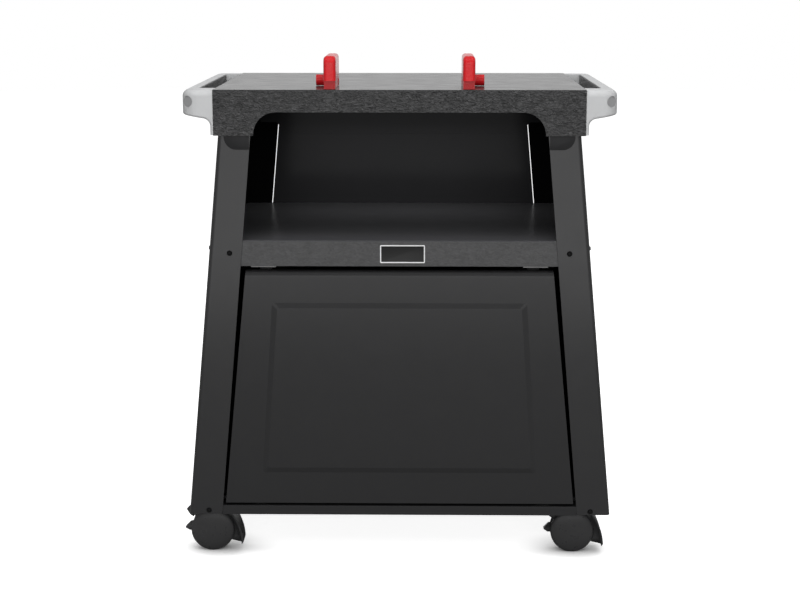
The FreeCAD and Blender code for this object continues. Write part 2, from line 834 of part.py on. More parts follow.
def door_panel():
    """The drop-down door: a bent tray of sheet with a raised trapezoid pressed in its face."""
    body = new_body("DoorPanel")
    wall = s.door_wall
    slab(body, "Block", "XZ", trapezoid(door_foot, door_head, door_foot_half, door_top_half),
         -door_face, -door_back)
    slab(body, "Hollow", "XZ",
         trapezoid(door_foot + wall, door_head - wall, door_half(door_foot + wall) - wall,
                   door_half(door_head - wall) - wall),
         -(door_face - wall), -(door_back - wall), adds=False)
    rounded(body, "InnerRoll", [(0, -(door_face - wall), door_head - wall)], s.door_roll - wall)
    rounded(body, "Roll", [(0, -door_face, door_head)], s.door_roll)
    low, high = door_foot + s.emboss_foot_gap, door_head - s.emboss_top_gap
    slope = s.emboss_slope
    outer = trapezoid(low, high, s.emboss_foot_half, s.emboss_top_half)
    inner = trapezoid(low + slope, high - slope, s.emboss_foot_half - slope, s.emboss_top_half - slope)
    face, crest = door_face, door_face + s.emboss_height
    skin(body, "Emboss", "XZ", (face, outer), (crest, inner))
    skin(body, "EmbossHollow", "XZ", (face - wall, outer), (crest - wall, inner), adds=False)
    crease_half = (s.emboss_top_half - slope / 2, s.emboss_foot_half - slope / 2)
    creases = []
    for level in (face, face - wall):
        for side in (-1, 1):
            creases.append((side * crease_half[0], -(level + s.emboss_height / 2), high - slope / 2))
            creases.append((side * crease_half[1], -(level + s.emboss_height / 2), low + slope / 2))
    rounded(body, "EmbossCorners", creases, s.emboss_corner)
    hinge = s.hinge_pin_radius + s.hinge_fit
    for side in (-1, 1):
        slab(body, "HingeHole%d" % (side + 1), "YZ", ((hinge_y, hinge_z), hinge),
             side * (door_foot_half - s.hinge_pin_length / 2), side * (door_foot_half + wall), adds=False)
    keep(body, "door_panel")


bracket_in = door_foot_half + s.bracket_gap


def hinge_brackets():
    """Two small angles on the cabinet floor that hold the door's pins."""
    bodies = []
    for side in (-1, 1):
        body = new_body("HingeBracket")
        near = -(inside_plane - s.bracket_setback)
        far = near + s.bracket_width
        ear, leaf = side * bracket_in, side * (bracket_in + s.sheet)
        slab(body, "Ear", "YZ", rectangle(near, far, floor_top, floor_top + s.bracket_rise), ear, leaf)
        slab(body, "Foot", "XY", rectangle(leaf, leaf + side * s.bracket_foot, near, far),
             floor_top, floor_top + s.sheet)
        slab(body, "PinHole", "YZ", ((hinge_y, hinge_z), s.hinge_pin_radius),
             ear - side * s.sheet, leaf + side * s.sheet, adds=False)
        bodies.append(body)
    keep(grouped("HingeBrackets", bodies), "door_hinge_brackets")


def hinge_pins():
    """The two pins that the door turns on."""
    pins = []
    for side in (-1, 1):
        start = side * (bracket_in + s.sheet * 2) - (s.hinge_pin_length if side > 0 else Size(0))
        pins.append(rod("HingePin", ALONG_X, (start, hinge_y, hinge_z),
                        s.hinge_pin_length, s.hinge_pin_radius))
    keep(grouped("HingePins", pins), "door_hinge_pins")


def door_catches():
    """Two magnet catches under the cross rail above the door's top edge."""
    catches = []
    outer = door_top_half - s.catch_end_gap
    for side in (-1, 1):
        body = new_body("Catch")
        near = -(inside_plane - s.catch_setback)
        far = near + s.catch_depth
        slab(body, "Case", "XY", rectangle(side * (outer - s.catch_length), side * outer, near, far),
             rail_foot - s.catch_height, rail_foot)
        catches.append(body)
    keep(grouped("Catches", catches), "door_catches")


# Handles.

handle_out = half_width + s.handle_reach
handle_end = half_depth - s.handle_end_gap
grip_in = half_width + s.handle_reach - s.grip_width
grip_reach = half_depth - s.grip_end
handle_foot = apron_foot + s.handle_foot_gap
handle_under = handle_screw_height + s.screw_head_radius + s.handle_web_gap + s.handle_web_radius


def plug_places(side):
    """The plugs' surface points on a handle's two rounded corners, with the direction out."""
    reach_x, reach_y = sine(s.plug_angle), cosine(s.plug_angle)
    places = []
    for y_sign in (-1, 1):
        x = side * (handle_out - s.handle_corner + s.handle_corner * reach_x)
        y = y_sign * (handle_end - s.handle_corner + s.handle_corner * reach_y)
        out = FreeCAD.Vector(side * reach_x.number, y_sign * reach_y.number, 0)
        places.append((x, y, y_sign, out))
    return places


def plug_rod(name, side, spot, depth, length, radius):
    """A cylinder that stands in a handle's corner along the plug's direction."""
    x, y, y_sign, out = spot
    base_x = x - side * sine(s.plug_angle) * depth
    base_y = y - y_sign * cosine(s.plug_angle) * depth
    turn = FreeCAD.Rotation(FreeCAD.Vector(0, 0, 1), out)
    return rod(name, turn, (base_x, base_y, s.top_height - s.plug_drop), length, radius)


def handle(label, side):
    """A moulded side handle: a flange on the apron, a concave web and a long grip over a gap."""
    body = new_body("Handle")
    flange = half_width + s.handle_flange
    horn = s.top_height - s.handle_horn
    profile = [(half_width, s.top_height), (handle_out, s.top_height), (handle_out, horn),
               (flange, handle_under), (flange, handle_foot), (half_width, handle_foot)]
    slab(body, "Profile", "XZ", [(side * x, z) for x, z in profile], -handle_end, handle_end)
    rounded(body, "Web", [(side * flange, 0, handle_under)], s.handle_web_radius)
    mid_horn = s.top_height - s.handle_horn / 2
    ends = [(side * handle_out, y_sign * handle_end, mid_horn) for y_sign in (-1, 1)]
    rounded(body, "Ends", ends, s.handle_corner)
    rounded(body, "TopRound", [(side * handle_out, 0, s.top_height)], s.handle_top_round)
    rounded(body, "FootRound", [(side * handle_out, 0, horn)], s.handle_foot_round)
    slab(body, "Gap", "XY", rectangle(side * flange, side * grip_in, -grip_reach, grip_reach),
         handle_foot - s.sheet, s.top_height + s.sheet, adds=False)
    inner_edges = [(side * grip_in, y_sign * grip_reach, mid_horn) for y_sign in (-1, 1)]
    rounded(body, "GapCorners", inner_edges, s.grip_corner)
    slab(body, "Notch", "XY",
         rectangle(side * (half_width - s.sheet), side * (flange + s.sheet), -grip_reach, grip_reach),
         s.top_height - s.grip_notch, s.top_height + s.sheet, adds=False)
    screw_holes(body, side)
    sockets = [plug_rod("PlugSocket", side, spot, s.plug_recess + s.plug_length,
                        s.plug_length * 3, s.plug_radius + s.plug_fit) for spot in plug_places(side)]
    keep(cut("HandleCut", body, joined("PlugSockets", sockets)), label)


def handle_liner(label, side):
    """The hammered steel liner along the inside of a grip."""
    body = new_body("Liner")
    near, far = side * grip_in, side * (grip_in - s.liner_sheet)
    reach = grip_reach - s.grip_corner
    slab(body, "Strip", "XY", rectangle(near, far, -reach, reach),
         s.top_height - s.liner_height, s.top_height - s.sheet)
    keep(body, label)


def handle_plugs():
    """Round plugs over the handles' end screws."""
    plugs = []
    for side in (-1, 1):
        for spot in plug_places(side):
            depth = s.plug_recess + s.plug_length
            plugs.append(plug_rod("Plug", side, spot, depth, s.plug_length, s.plug_radius))
    keep(grouped("Plugs", plugs), "handle_plugs")


# Screws.

def pan_screw(name, shank, head_height):
    """A pan-head screw whose seat is at z = 0, with the head above."""
    body = new_body(name)
    pin = s.screw_shank_radius
    turned(body, "Screw", [(Size(0), -shank), (pin, -shank), (pin, Size(0)), (s.screw_head_radius, Size(0)),
                           (s.screw_crown_radius, head_height), (Size(0), head_height)])
    return body


def frame_screws():
    """Screws through the legs: front and rear for the rail and back, sides for the shelf."""
    screws = []
    for x_sign in (-1, 1):
        for y_sign in (-1, 1):
            screw = pan_screw("FaceScrew", s.screw_length, s.screw_head_height)
            turn = AGAINST_Y if y_sign < 0 else ALONG_Y
            place(screw, x_sign * rail_screw_half, y_sign * leg_plane, rail_screw_height, turn)
            screws.append(screw)
            screw = pan_screw("SideScrew", s.screw_length, s.screw_head_height)
            place(screw, x_sign * leg_out(side_screw_height), y_sign * (leg_plane - s.side_screw_inset),
                  side_screw_height, side_turn(x_sign))
            screws.append(screw)
    keep(grouped("FrameScrews", screws), "frame_screws")


def floor_screws():
    """Screws through the legs' feet into the floor panel's tabs."""
    screws = []
    for x_sign in (-1, 1):
        for y_sign in (-1, 1):
            screw = pan_screw("FloorScrew", s.screw_length, s.floor_screw_head)
            turn = AGAINST_Y if y_sign < 0 else ALONG_Y
            place(screw, x_sign * floor_screw_half, y_sign * leg_plane, floor_screw_height, turn)
            screws.append(screw)
    keep(grouped("FloorScrews", screws), "floor_screws")


def handle_screws():
    """Screws that hold the handles' flanges on the side aprons."""
    screws = []
    seat = half_width + s.handle_flange
    length = seat - leg_out(handle_screw_height) - s.handle_screw_tip_gap
    for side in (-1, 1):
        turn = FreeCAD.Rotation(FreeCAD.Vector(0, 1, 0), side * 90)
        for y in handle_screw_places():
            screw = pan_screw("HandleScrew", length, s.screw_head_height)
            place(screw, side * seat, y, handle_screw_height, turn)
            screws.append(screw)
    keep(grouped("HandleScrews", screws), "handle_screws")


# Flip levers.

lever_foot = s.top_height + s.lever_lift
lever_head = s.top_height + s.lever_rise
lever_front = -half_depth + s.lever_front_gap
lever_rear = lever_axis_y + s.lever_hub_radius


def lever(label, side):
    """A red flip lever: a hollow moulded arm with a hub on its outer side."""
    body = new_body("Lever")
    inner, outer = side * s.lever_inner, side * (s.lever_inner + s.lever_width)
    band = lever_foot + s.lever_foot_band
    slab(body, "Arm", "YZ", rectangle(lever_front, lever_rear, band, lever_head), inner, outer)
    middle = side * lever_middle
    rounded(body, "FrontRound", [(middle, lever_front, lever_head)], s.lever_front_round)
    rounded(body, "RearRound", [(middle, lever_rear, lever_head)], s.lever_rear_round)
    side_edges = [(x, (lever_front + lever_rear) / 2, lever_head) for x in (inner, outer)]
    rounded(body, "SideRounds", side_edges, s.lever_side_round)
    step = lever_front + s.lever_foot_step
    inset = side * s.lever_foot_inset
    slab(body, "Foot", "YZ", rectangle(step, lever_axis_y, lever_foot, band), inner + inset, outer - inset)
    slab(body, "Heel", "YZ", ((lever_axis_y, lever_axis_z), s.lever_hub_radius), inner, outer)
    slab(body, "Hub", "YZ", ((lever_axis_y, lever_axis_z), s.lever_hub_radius), outer,
         outer + side * s.lever_hub_length)
    wall = s.lever_wall
    cheek = s.lever_cheek
    hollow_foot, hollow_head = lever_foot - wall, lever_axis_z + s.lug_radius + wall
    slab(body, "Hollow", "YZ", rectangle(step + wall, lever_rear + wall, hollow_foot, hollow_head),
         inner + side * cheek, outer - side * cheek, adds=False)
    upper_rear, upper_head = lever_rear - s.lever_rear_round / 2, lever_head - s.lever_front_round / 2
    slab(body, "UpperHollow", "YZ", rectangle(step + wall, upper_rear, hollow_foot, upper_head),
         inner + side * cheek, outer - side * cheek, adds=False)
    bore_end = outer + side * (s.lever_hub_length - s.lever_hub_wall)
    slab(body, "Bore", "YZ", ((lever_axis_y, lever_axis_z), s.lever_pin_radius + s.lever_fit),
         inner + side * s.lever_hub_wall, bore_end, adds=False)
    keep(body, label)


def lever_lug(label, side):
    """The steel lug under a lever: an ear through the table top with a foot below it."""
    body = new_body("LeverLug")
    middle = side * lever_middle
    near, far = middle - s.lug_sheet / 2, middle + s.lug_sheet / 2
    start, end = lever_axis_y - s.lug_radius, lever_axis_y + s.lug_radius
    slab(body, "Ear", "YZ", rectangle(start, end, top_underside - s.sheet, lever_axis_z), near, far)
    slab(body, "Eye", "YZ", ((lever_axis_y, lever_axis_z), s.lug_radius), near, far)
    foot_half = s.lug_foot / 2
    slab(body, "Foot", "XY",
         rectangle(middle - foot_half, middle + foot_half, start - s.lug_radius, end + s.lug_radius),
         top_underside - s.lug_sheet, top_underside)
    slab(body, "PinHole", "YZ", ((lever_axis_y, lever_axis_z), s.lever_pin_radius),
         near - s.sheet, far + s.sheet, adds=False)
    keep(body, label)


def lever_pin(label, side):
    """The pivot pin of a lever, pressed in its lug."""
    start = s.lever_inner + s.lever_hub_wall + s.axle_end_gap
    end = s.lever_inner + s.lever_width + s.lever_hub_length - s.lever_hub_wall - s.axle_end_gap
    low = start if side > 0 else -end
    keep(rod("LeverPin", ALONG_X, (low, lever_axis_y, lever_axis_z), end - start, s.lever_pin_radius), label)


# Casters. Each stands under its leg with the wheels trailing towards -X.

hood_half = s.hood_web / 2 + s.wheel_gap + s.wheel_width
hood_radius = s.wheel_radius + s.hood_wrap
arc_share = 1 - math.sqrt(0.5)


def caster(corner, x_sign, y_sign, brake):
    """One twin-wheel caster under a leg."""
    stem_x = x_sign * caster_half
    stem_y = y_sign * stem_line
    wheel_x = stem_x - s.caster_trail
    caster_stem(corner, stem_x, stem_y)
    caster_hood(corner, stem_x, stem_y, wheel_x, brake)
    half_axle = s.hood_web / 2 + s.wheel_gap + s.wheel_bore_depth - s.axle_end_gap
    keep(rod("Axle", ALONG_Y, (wheel_x, stem_y - half_axle, s.wheel_radius), half_axle * 2, s.axle_radius),
         corner + "_axle")
    caster_wheel(corner + "_outer_wheel", wheel_x, stem_y, y_sign)
    caster_wheel(corner + "_inner_wheel", wheel_x, stem_y, -y_sign)
    if brake:
        brake_pedal(corner, wheel_x, stem_y)


def caster_stem(corner, stem_x, stem_y):
    """The threaded stem with its collar under the foot plate and its pivot in the hood."""
    body = new_body("Stem")
    low = hood_top - s.stem_sink
    high = foot + s.foot_plate + s.stem_thread_rise
    pivot, collar, thread = s.stem_radius, s.stem_collar_radius, s.stem_thread_radius
    seat = hood_top + s.stem_collar_gap
    turned(body, "Stem", [(Size(0), low), (pivot, low), (pivot, seat), (collar, seat), (collar, foot),
                          (thread, foot), (thread, high), (Size(0), high)])
    place(body, stem_x, stem_y, Size(0))
    keep(body, corner + "_stem")


def caster_hood(corner, stem_x, stem_y, wheel_x, brake):
    """The swivelling hood: a middle web that carries axle and stem, and a crescent shell."""
    centre_x = wheel_x - s.hood_centre_x
    centre_z = s.wheel_radius - s.hood_centre_z
    low = s.wheel_radius - s.hood_foot
    web_half, reach = s.hood_web / 2, hood_radius * 2
    window_height = hood_top - low

    def window(name, half):
        return block(name, (wheel_x - s.hood_back, stem_y - half, low),
                     (reach, half * 2, window_height))

    def disc(name, half, radius):
        return rod(name, ALONG_Y, (centre_x, stem_y - half, centre_z), half * 2, radius)

    web = shared("HoodWeb", [window("WebWindow", web_half), disc("WebDisc", web_half, hood_radius)])
    shell_ring = cut("ShellRing", disc("ShellOuter", hood_half, hood_radius),
                     disc("ShellInner", hood_half + s.hood_wall, hood_radius - s.hood_wall))
    shell = shared("HoodShell", [window("ShellWindow", hood_half), shell_ring])
    head_corner = (wheel_x - s.hood_back, stem_y - hood_half, hood_top - s.hood_wall)
    head = shared("HoodHead", [block("HeadPlate", head_corner, (reach, hood_half * 2, s.hood_wall)),
                               disc("HeadDisc", hood_half, hood_radius)])
    solid = joined("HoodSolid", [web, shell, head])
    wheel_room = s.wheel_radius + s.hood_wheel_gap
    cutters = [rod("AxleBore", ALONG_Y, (wheel_x, stem_y - hood_half, s.wheel_radius),
                   hood_half * 2, s.axle_radius),
               rod("StemBore", FreeCAD.Rotation(),
                   (stem_x, stem_y, hood_top - s.stem_sink - s.stem_collar_gap),
                   s.stem_sink + s.hood_wall, s.stem_radius + s.stem_fit)]
    for side in (-1, 1):
        start = stem_y + web_half if side > 0 else stem_y - hood_half - s.hood_wall
        cutters.append(rod("WheelRoom", ALONG_Y, (wheel_x, start, s.wheel_radius),
                           hood_half - web_half + s.hood_wall, wheel_room))
    pivot_x, pivot_z = wheel_x - s.pedal_pivot_x, s.wheel_radius + s.pedal_pivot_z
    if brake:
        slot_half = s.pedal_arm / 2 + s.pedal_arm_gap
        ear_start = (pivot_x, stem_y - web_half, pivot_z)
        ear = rod("PedalEar", ALONG_Y, ear_start, web_half * 2, s.pedal_hub_radius)
        solid = joined("PedalEars", [solid, ear])
        cutters.append(block("PedalSlot", (pivot_x - s.pedal_reach, stem_y - slot_half, low),
                             (s.pedal_reach + s.pedal_hub_radius + s.hood_wall, slot_half * 2, hood_top)))
        cutters.append(rod("PedalBore", ALONG_Y, (pivot_x, stem_y - hood_half, pivot_z), hood_half * 2,
                           s.pedal_pin_radius))
    keep(cut("HoodCut", solid, joined("HoodCutters", cutters)), corner + "_hood")
    if brake:
        pin = rod("PedalPin", ALONG_Y, ear_start, web_half * 2, s.pedal_pin_radius)
        keep(pin, corner + "_pedal_pin")


def caster_wheel(label, wheel_x, stem_y, outward):
    """A moulded wheel, open towards the hood and closed with a domed face outside."""
    body = new_body("Wheel")
    bore = s.axle_radius + s.axle_fit
    radius, edge = s.wheel_radius, s.wheel_edge
    rim = radius - s.wheel_rim
    shoulder = (radius - s.wheel_dome * arc_share, s.wheel_width - s.wheel_dome_depth * arc_share)
    turned(body, "Wheel", [(Size(0), s.wheel_bore_depth), (bore, s.wheel_bore_depth), (bore, Size(0)),
                           (s.wheel_hub_radius, Size(0)), (s.wheel_hub_radius, s.wheel_recess),
                           (rim, s.wheel_recess), (rim, Size(0)), (radius - edge, Size(0)), (radius, edge),
                           (radius, s.wheel_width - s.wheel_dome_depth), shoulder,
                           (radius - s.wheel_dome, s.wheel_width), (Size(0), s.wheel_width)])
    start = stem_y + outward * (s.hood_web / 2 + s.wheel_gap)
    place(body, wheel_x, start, s.wheel_radius, ALONG_Y if outward > 0 else AGAINST_Y)
    keep(body, label)


def brake_pedal(corner, wheel_x, stem_y):
    """A rocker with an upper and a lower lobe behind the wheels."""
    body = new_body("Pedal")
    pivot_x, pivot_z = wheel_x - s.pedal_pivot_x, s.wheel_radius + s.pedal_pivot_z
    half, lobe_half = s.pedal_arm / 2, s.pedal_lobe_width / 2
    slab(body, "Hub", "XZ", ((pivot_x, pivot_z), s.pedal_hub_radius), stem_y - half, stem_y + half)
    lobe_x = wheel_x - s.pedal_reach
    lobes = (("Upper", s.pedal_upper, s.pedal_upper_half, s.pedal_upper_depth / 2),
             ("Lower", s.pedal_lower, s.pedal_lower_half, s.pedal_lower_depth / 2))
    for name, rise, tall, deep in lobes:
        z = s.wheel_radius + rise
        slab(body, name + "Arm", "XZ", [(pivot_x, pivot_z - half), (pivot_x, pivot_z + half),
                                        (lobe_x, z + half), (lobe_x, z - half)], stem_y - half, stem_y + half)
        corners = rectangle(lobe_x - deep, lobe_x + deep, z - tall, z + tall)
        slab(body, name + "Lobe", "XZ", [corner + (s.pedal_lobe_corner,) for corner in corners],
             stem_y - lobe_half, stem_y + lobe_half)
    slab(body, "PinBore", "XZ", ((pivot_x, pivot_z), s.pedal_pin_radius + s.pedal_fit),
         stem_y - lobe_half, stem_y + lobe_half, adds=False)
    keep(body, corner + "_brake_pedal")


def caster_nuts():
    """Hexagon nuts on the stems above the foot plates."""
    nuts = []
    across = s.nut_flats / math.sqrt(3)
    for x_sign in (-1, 1):
        for y_sign in (-1, 1):
            body = new_body("Nut")
            stem_x = x_sign * caster_half
            stem_y = y_sign * stem_line
            turns = [math.radians(60 * turn) for turn in range(6)]
            corners = [(stem_x + across * math.cos(turn), stem_y + across * math.sin(turn)) for turn in turns]
            low = foot + s.foot_plate
            slab(body, "Nut", "XY", corners, low, low + s.nut_height)
            slab(body, "Thread", "XY", ((stem_x, stem_y), s.stem_thread_radius),
                 foot, low + s.nut_height * 2, adds=False)
            nuts.append(body)
    keep(grouped("Nuts", nuts), "caster_nuts")


SIDES = (("left", -1), ("right", 1))
ENDS = (("front", -1), ("rear", 1))


def build():
    table_top()
    for end, y_sign in ENDS:
        arched_apron(end + "_apron", y_sign)
    for name, side in SIDES:
        side_apron(name + "_apron", side)
        side_panel(name + "_side_panel", side)
        handle(name + "_handle", side)
        handle_liner(name + "_handle_liner", side)
        lever(name + "_lever", side)
        lever_lug(name + "_lever_lug", side)
        lever_pin(name + "_lever_pin", side)
    for end, y_sign in ENDS:
        for name, side in SIDES:
            leg("%s_%s_leg" % (end, name), side, y_sign)
            caster("%s_%s" % (end, name), side, y_sign, y_sign < 0)
    back_panel()
    rear_rail()
    storage_shelf()
    floor_panel()
    front_rail()
    door_panel()
    hinge_brackets()
    hinge_pins()
    door_catches()
    handle_plugs()
    frame_screws()
    floor_screws()
    handle_screws()
    caster_nuts()


def export():
    """Check every object and write each sub-part to its own file."""
    doc.recompute()
    faults = []
    for obj in doc.Objects:
        if "Invalid" in obj.State or "Error" in obj.State:
            faults.append("%s (%s): %s" % (obj.Name, obj.Label, obj.State))
    for obj in sub_parts:
        if obj.Shape.isNull() or not obj.Shape.isValid():
            faults.append("%s: bad shape" % obj.Label)
    if faults:
        raise RuntimeError("; ".join(faults))
    os.makedirs("parts", exist_ok=True)
    for obj in sub_parts:
        obj.Shape.exportStep("parts/%s.step" % obj.Label)
        box = obj.Shape.BoundBox
        print("%-28s solids %2d  x %.1f..%.1f  y %.1f..%.1f  z %.1f..%.1f" % (
            obj.Label, len(obj.Shape.Solids), box.XMin, box.XMax, box.YMin, box.YMax, box.ZMin, box.ZMax))


build()
export()
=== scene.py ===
"""Looks of the grill cart with storage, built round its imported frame.

Metres, +Z up, the front faces -Y and the origin is on the floor under the middle.
"""

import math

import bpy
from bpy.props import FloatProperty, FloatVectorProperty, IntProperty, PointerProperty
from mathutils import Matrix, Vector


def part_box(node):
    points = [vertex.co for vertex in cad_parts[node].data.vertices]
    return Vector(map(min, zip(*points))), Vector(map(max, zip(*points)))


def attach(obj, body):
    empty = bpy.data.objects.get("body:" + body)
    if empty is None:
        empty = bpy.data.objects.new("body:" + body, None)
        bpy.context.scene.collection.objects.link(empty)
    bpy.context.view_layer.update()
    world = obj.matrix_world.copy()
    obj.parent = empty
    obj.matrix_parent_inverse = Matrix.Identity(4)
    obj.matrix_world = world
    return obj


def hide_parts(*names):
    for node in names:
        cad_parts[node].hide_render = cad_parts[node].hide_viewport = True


bl_info = {
    "name": "Grill Cart with Storage",
    "version": (1, 0, 0),
    "blender": (4, 5, 0),
    "location": "View3D > Sidebar > Grill Cart",
    "description": "Finishes, plates, screws and fittings of a grill cart, with a plain studio",
    "category": "Object",
}

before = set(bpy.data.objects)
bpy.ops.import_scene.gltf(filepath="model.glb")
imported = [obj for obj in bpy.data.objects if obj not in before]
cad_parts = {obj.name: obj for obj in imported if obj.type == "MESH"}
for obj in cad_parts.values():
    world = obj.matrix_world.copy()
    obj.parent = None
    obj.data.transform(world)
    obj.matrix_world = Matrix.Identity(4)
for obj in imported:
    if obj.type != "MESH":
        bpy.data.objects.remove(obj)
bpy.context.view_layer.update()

MM = 0.001
SIDES = (("left", -1), ("right", 1))


# Sizes read from the frame

def low(node, axis):
    """Lowest coordinate of a node along axis 0, 1 or 2."""
    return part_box(node)[0][axis]


def high(node, axis):
    """Highest coordinate of a node along axis 0, 1 or 2."""
    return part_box(node)[1][axis]


def middle_of(node, axis):
    """Middle of a node along axis 0, 1 or 2."""
    return (low(node, axis) + high(node, axis)) / 2


APRON_FOOT = low("front_apron", 2)
LEG_FACE_Y = low("front_left_leg", 1)
RAIL_FACE_Y = low("front_rail", 1)


# Settings

def measure(name, description, default):
    """A setting that is a distance, in metres."""
    return FloatProperty(name=name, description=description, subtype="DISTANCE", default=default)


class CartFinishes(bpy.types.PropertyGroup):
    """Colours and textures of the cart's finishes."""

    smooth: FloatVectorProperty(name="Smooth coat", description="Satin powder coat of legs and door",
                                subtype="COLOR", size=3, default=(0.0205, 0.0205, 0.0213))
    hammered: FloatVectorProperty(name="Hammered coat", description="Textured powder coat of aprons and rail",
                                  subtype="COLOR", size=3, default=(0.054, 0.054, 0.055))
    # Copies of the inner coat: a darker one is painted shade on inward faces, a paler one is painted light on
    # the shelf.
    inside: FloatVectorProperty(name="Inner coat", description="Glossy coat of the panels inside the frame",
                                subtype="COLOR", size=3, default=(0.008, 0.008, 0.0085))
    silver: FloatVectorProperty(name="Handle plastic", description="Silver-grey moulded handles",
                                subtype="COLOR", size=3, default=(0.53, 0.535, 0.54))
    plug: FloatVectorProperty(name="Plug plastic", description="Grey plugs in the handles",
                              subtype="COLOR", size=3, default=(0.31, 0.31, 0.315))
    red: FloatVectorProperty(name="Lever plastic", description="Bright red levers",
                             subtype="COLOR", size=3, default=(0.54, 0.012, 0.016))
    base_band: measure("Lever base band", "Height of the deeper red band at a lever's foot", 13.5 * MM)
    caster: FloatVectorProperty(name="Caster plastic", description="Black moulded wheels and hoods",
                                subtype="COLOR", size=3, default=(0.042, 0.042, 0.043))
    wear: FloatProperty(name="Edge wear", subtype="FACTOR", min=0, max=1, default=0.4,
                        description="How much lighter a coat is where its edges are rubbed")
    grain_long: measure("Hammer grain length", "Length of a wrinkle in the hammered coat", 9 * MM)
    grain_short: measure("Hammer grain height", "Height of a wrinkle in the hammered coat", 4.5 * MM)


class CartPlate(bpy.types.PropertyGroup):
    """The bare plate on the cross rail."""

    left: measure("Left edge", "Left edge of the plate", -32 * MM)
    right: measure("Right edge", "Right edge of the plate", 42.6 * MM)
    foot: measure("Foot", "Height of the plate's lower edge", 518.3 * MM)
    head: measure("Head", "Height of the plate's upper edge", 548.4 * MM)
    thickness: measure("Thickness", "Thickness of the plate", 1.3 * MM)
    rim: measure("Rim", "Width of the raised bright rim", 1.6 * MM)
    corner: measure("Corner", "Radius of the plate's corners", 2.2 * MM)
    step: measure("Step", "Width of the slope inside the rim", 0.3 * MM)
    sink: measure("Sink", "How deep the field lies in the rim", 0.5 * MM)


class CartTabs(bpy.types.PropertyGroup):
    """The tabs on the front legs under the apron's corners."""

    inner: measure("Inner edge", "Half width between the tabs", 246.5 * MM)
    outer: measure("Outer edge", "Half width over the tabs", 288 * MM)
    drop: measure("Drop", "How far a tab hangs below the apron", 23 * MM)
    corner: measure("Corner", "Radius of a tab's lower outer corner", 21 * MM)
    thickness: measure("Thickness", "Thickness of a tab", 0.6 * MM)


class CartScrews(bpy.types.PropertyGroup):
    """The cross recess in the screw heads."""

    reach: measure("Recess reach", "Half the span of the cross", 1.9 * MM)
    width: measure("Recess width", "Width of one slot of the cross", 0.9 * MM)
    depth: measure("Recess depth", "Depth of the cross at its middle", 1.0 * MM)
    taper: FloatProperty(name="Recess taper", description="Share of the cross's span left at its foot",
                         subtype="FACTOR", min=0, max=1, default=0.6)


class CartCatches(bpy.types.PropertyGroup):
    """The two magnet catches above the door."""

    length: measure("Length", "Length of a catch's plate", 41.5 * MM)
    magnet_start: measure("Magnet start", "From the plate's outer end to the magnet", 14 * MM)
    magnet_length: measure("Magnet length", "Length of the magnet", 20 * MM)
    magnet_depth: measure("Magnet depth", "Depth of the magnet from front to back", 2.5 * MM)
    magnet_drop: measure("Magnet drop", "How far the magnet hangs under its plate", 9 * MM)
    pole: measure("Pole", "Width of the slope round the magnet's raised pole", 0.8 * MM)
    pole_rise: measure("Pole rise", "How far the pole stands out", 0.6 * MM)


class CartCasters(bpy.types.PropertyGroup):
    """Shapes of the casters' wheels and hoods."""

    crown: measure("Wheel crown", "How far a wheel's outer face swells", 8.0 * MM)
    rings: IntProperty(name="Crown rings", description="Steps from the tread to the middle of the crown",
                       min=4, default=12)
    rim: measure("Wheel rim", "Thickness of the rim on the open side", 4.5 * MM)
    hub: measure("Wheel hub", "Radius of the hub on the open side", 11.0 * MM)
    room: measure("Wheel room", "Depth of the open side", 4.0 * MM)
    axle: measure("Axle hole", "Radius of the axle's hole in the hub", 4.0 * MM)
    tread_edge: measure("Tread edge", "Slope from the tread to the open side", 1.5 * MM)
    crown_turn: FloatProperty(name="Crown turn", description="How far the crown's rings reach inwards",
                              subtype="ANGLE", default=math.radians(87))
    hood_drop: measure("Hood drop", "How much lower the hood's outer foot hangs", 5.0 * MM)
    hood_tip: measure("Hood tip", "Radius of the hood's outer foot", 4.0 * MM)
    hood_slope: measure("Hood slope", "Length of the slanted part of the hood's foot", 23.0 * MM)


class CartPedals(bpy.types.PropertyGroup):
    """The brake pedals' arms and lobes, measured from a pedal's lowest outer corner."""

    arms: measure("Arms", "Where the arms begin behind the lobes", 13.5 * MM)
    root: measure("Root", "How far a lobe reaches into the arms", 15 * MM)
    lower_head: measure("Lower head", "Height of the lower lobe's head", 16 * MM)
    lower_ridge: measure("Lower ridge", "Height of the lower lobe's outer ridge", 7 * MM)
    brow: FloatVectorProperty(name="Lower brow", description="Place of the lower lobe's upper corner",
                              subtype="TRANSLATION", size=3, default=(3 * MM, 0, 13 * MM))
    upper_foot: measure("Upper foot", "Height of the upper lobe's foot", 26 * MM)
    upper_inset: measure("Upper inset", "How far the upper lobe stands back", 2.1 * MM)
    front_ridge: measure("Upper front ridge", "Height of the upper lobe's front ridge", 30.5 * MM)
    upper_ridge: measure("Upper ridge", "Height of the upper lobe's outer ridge", 38.2 * MM)


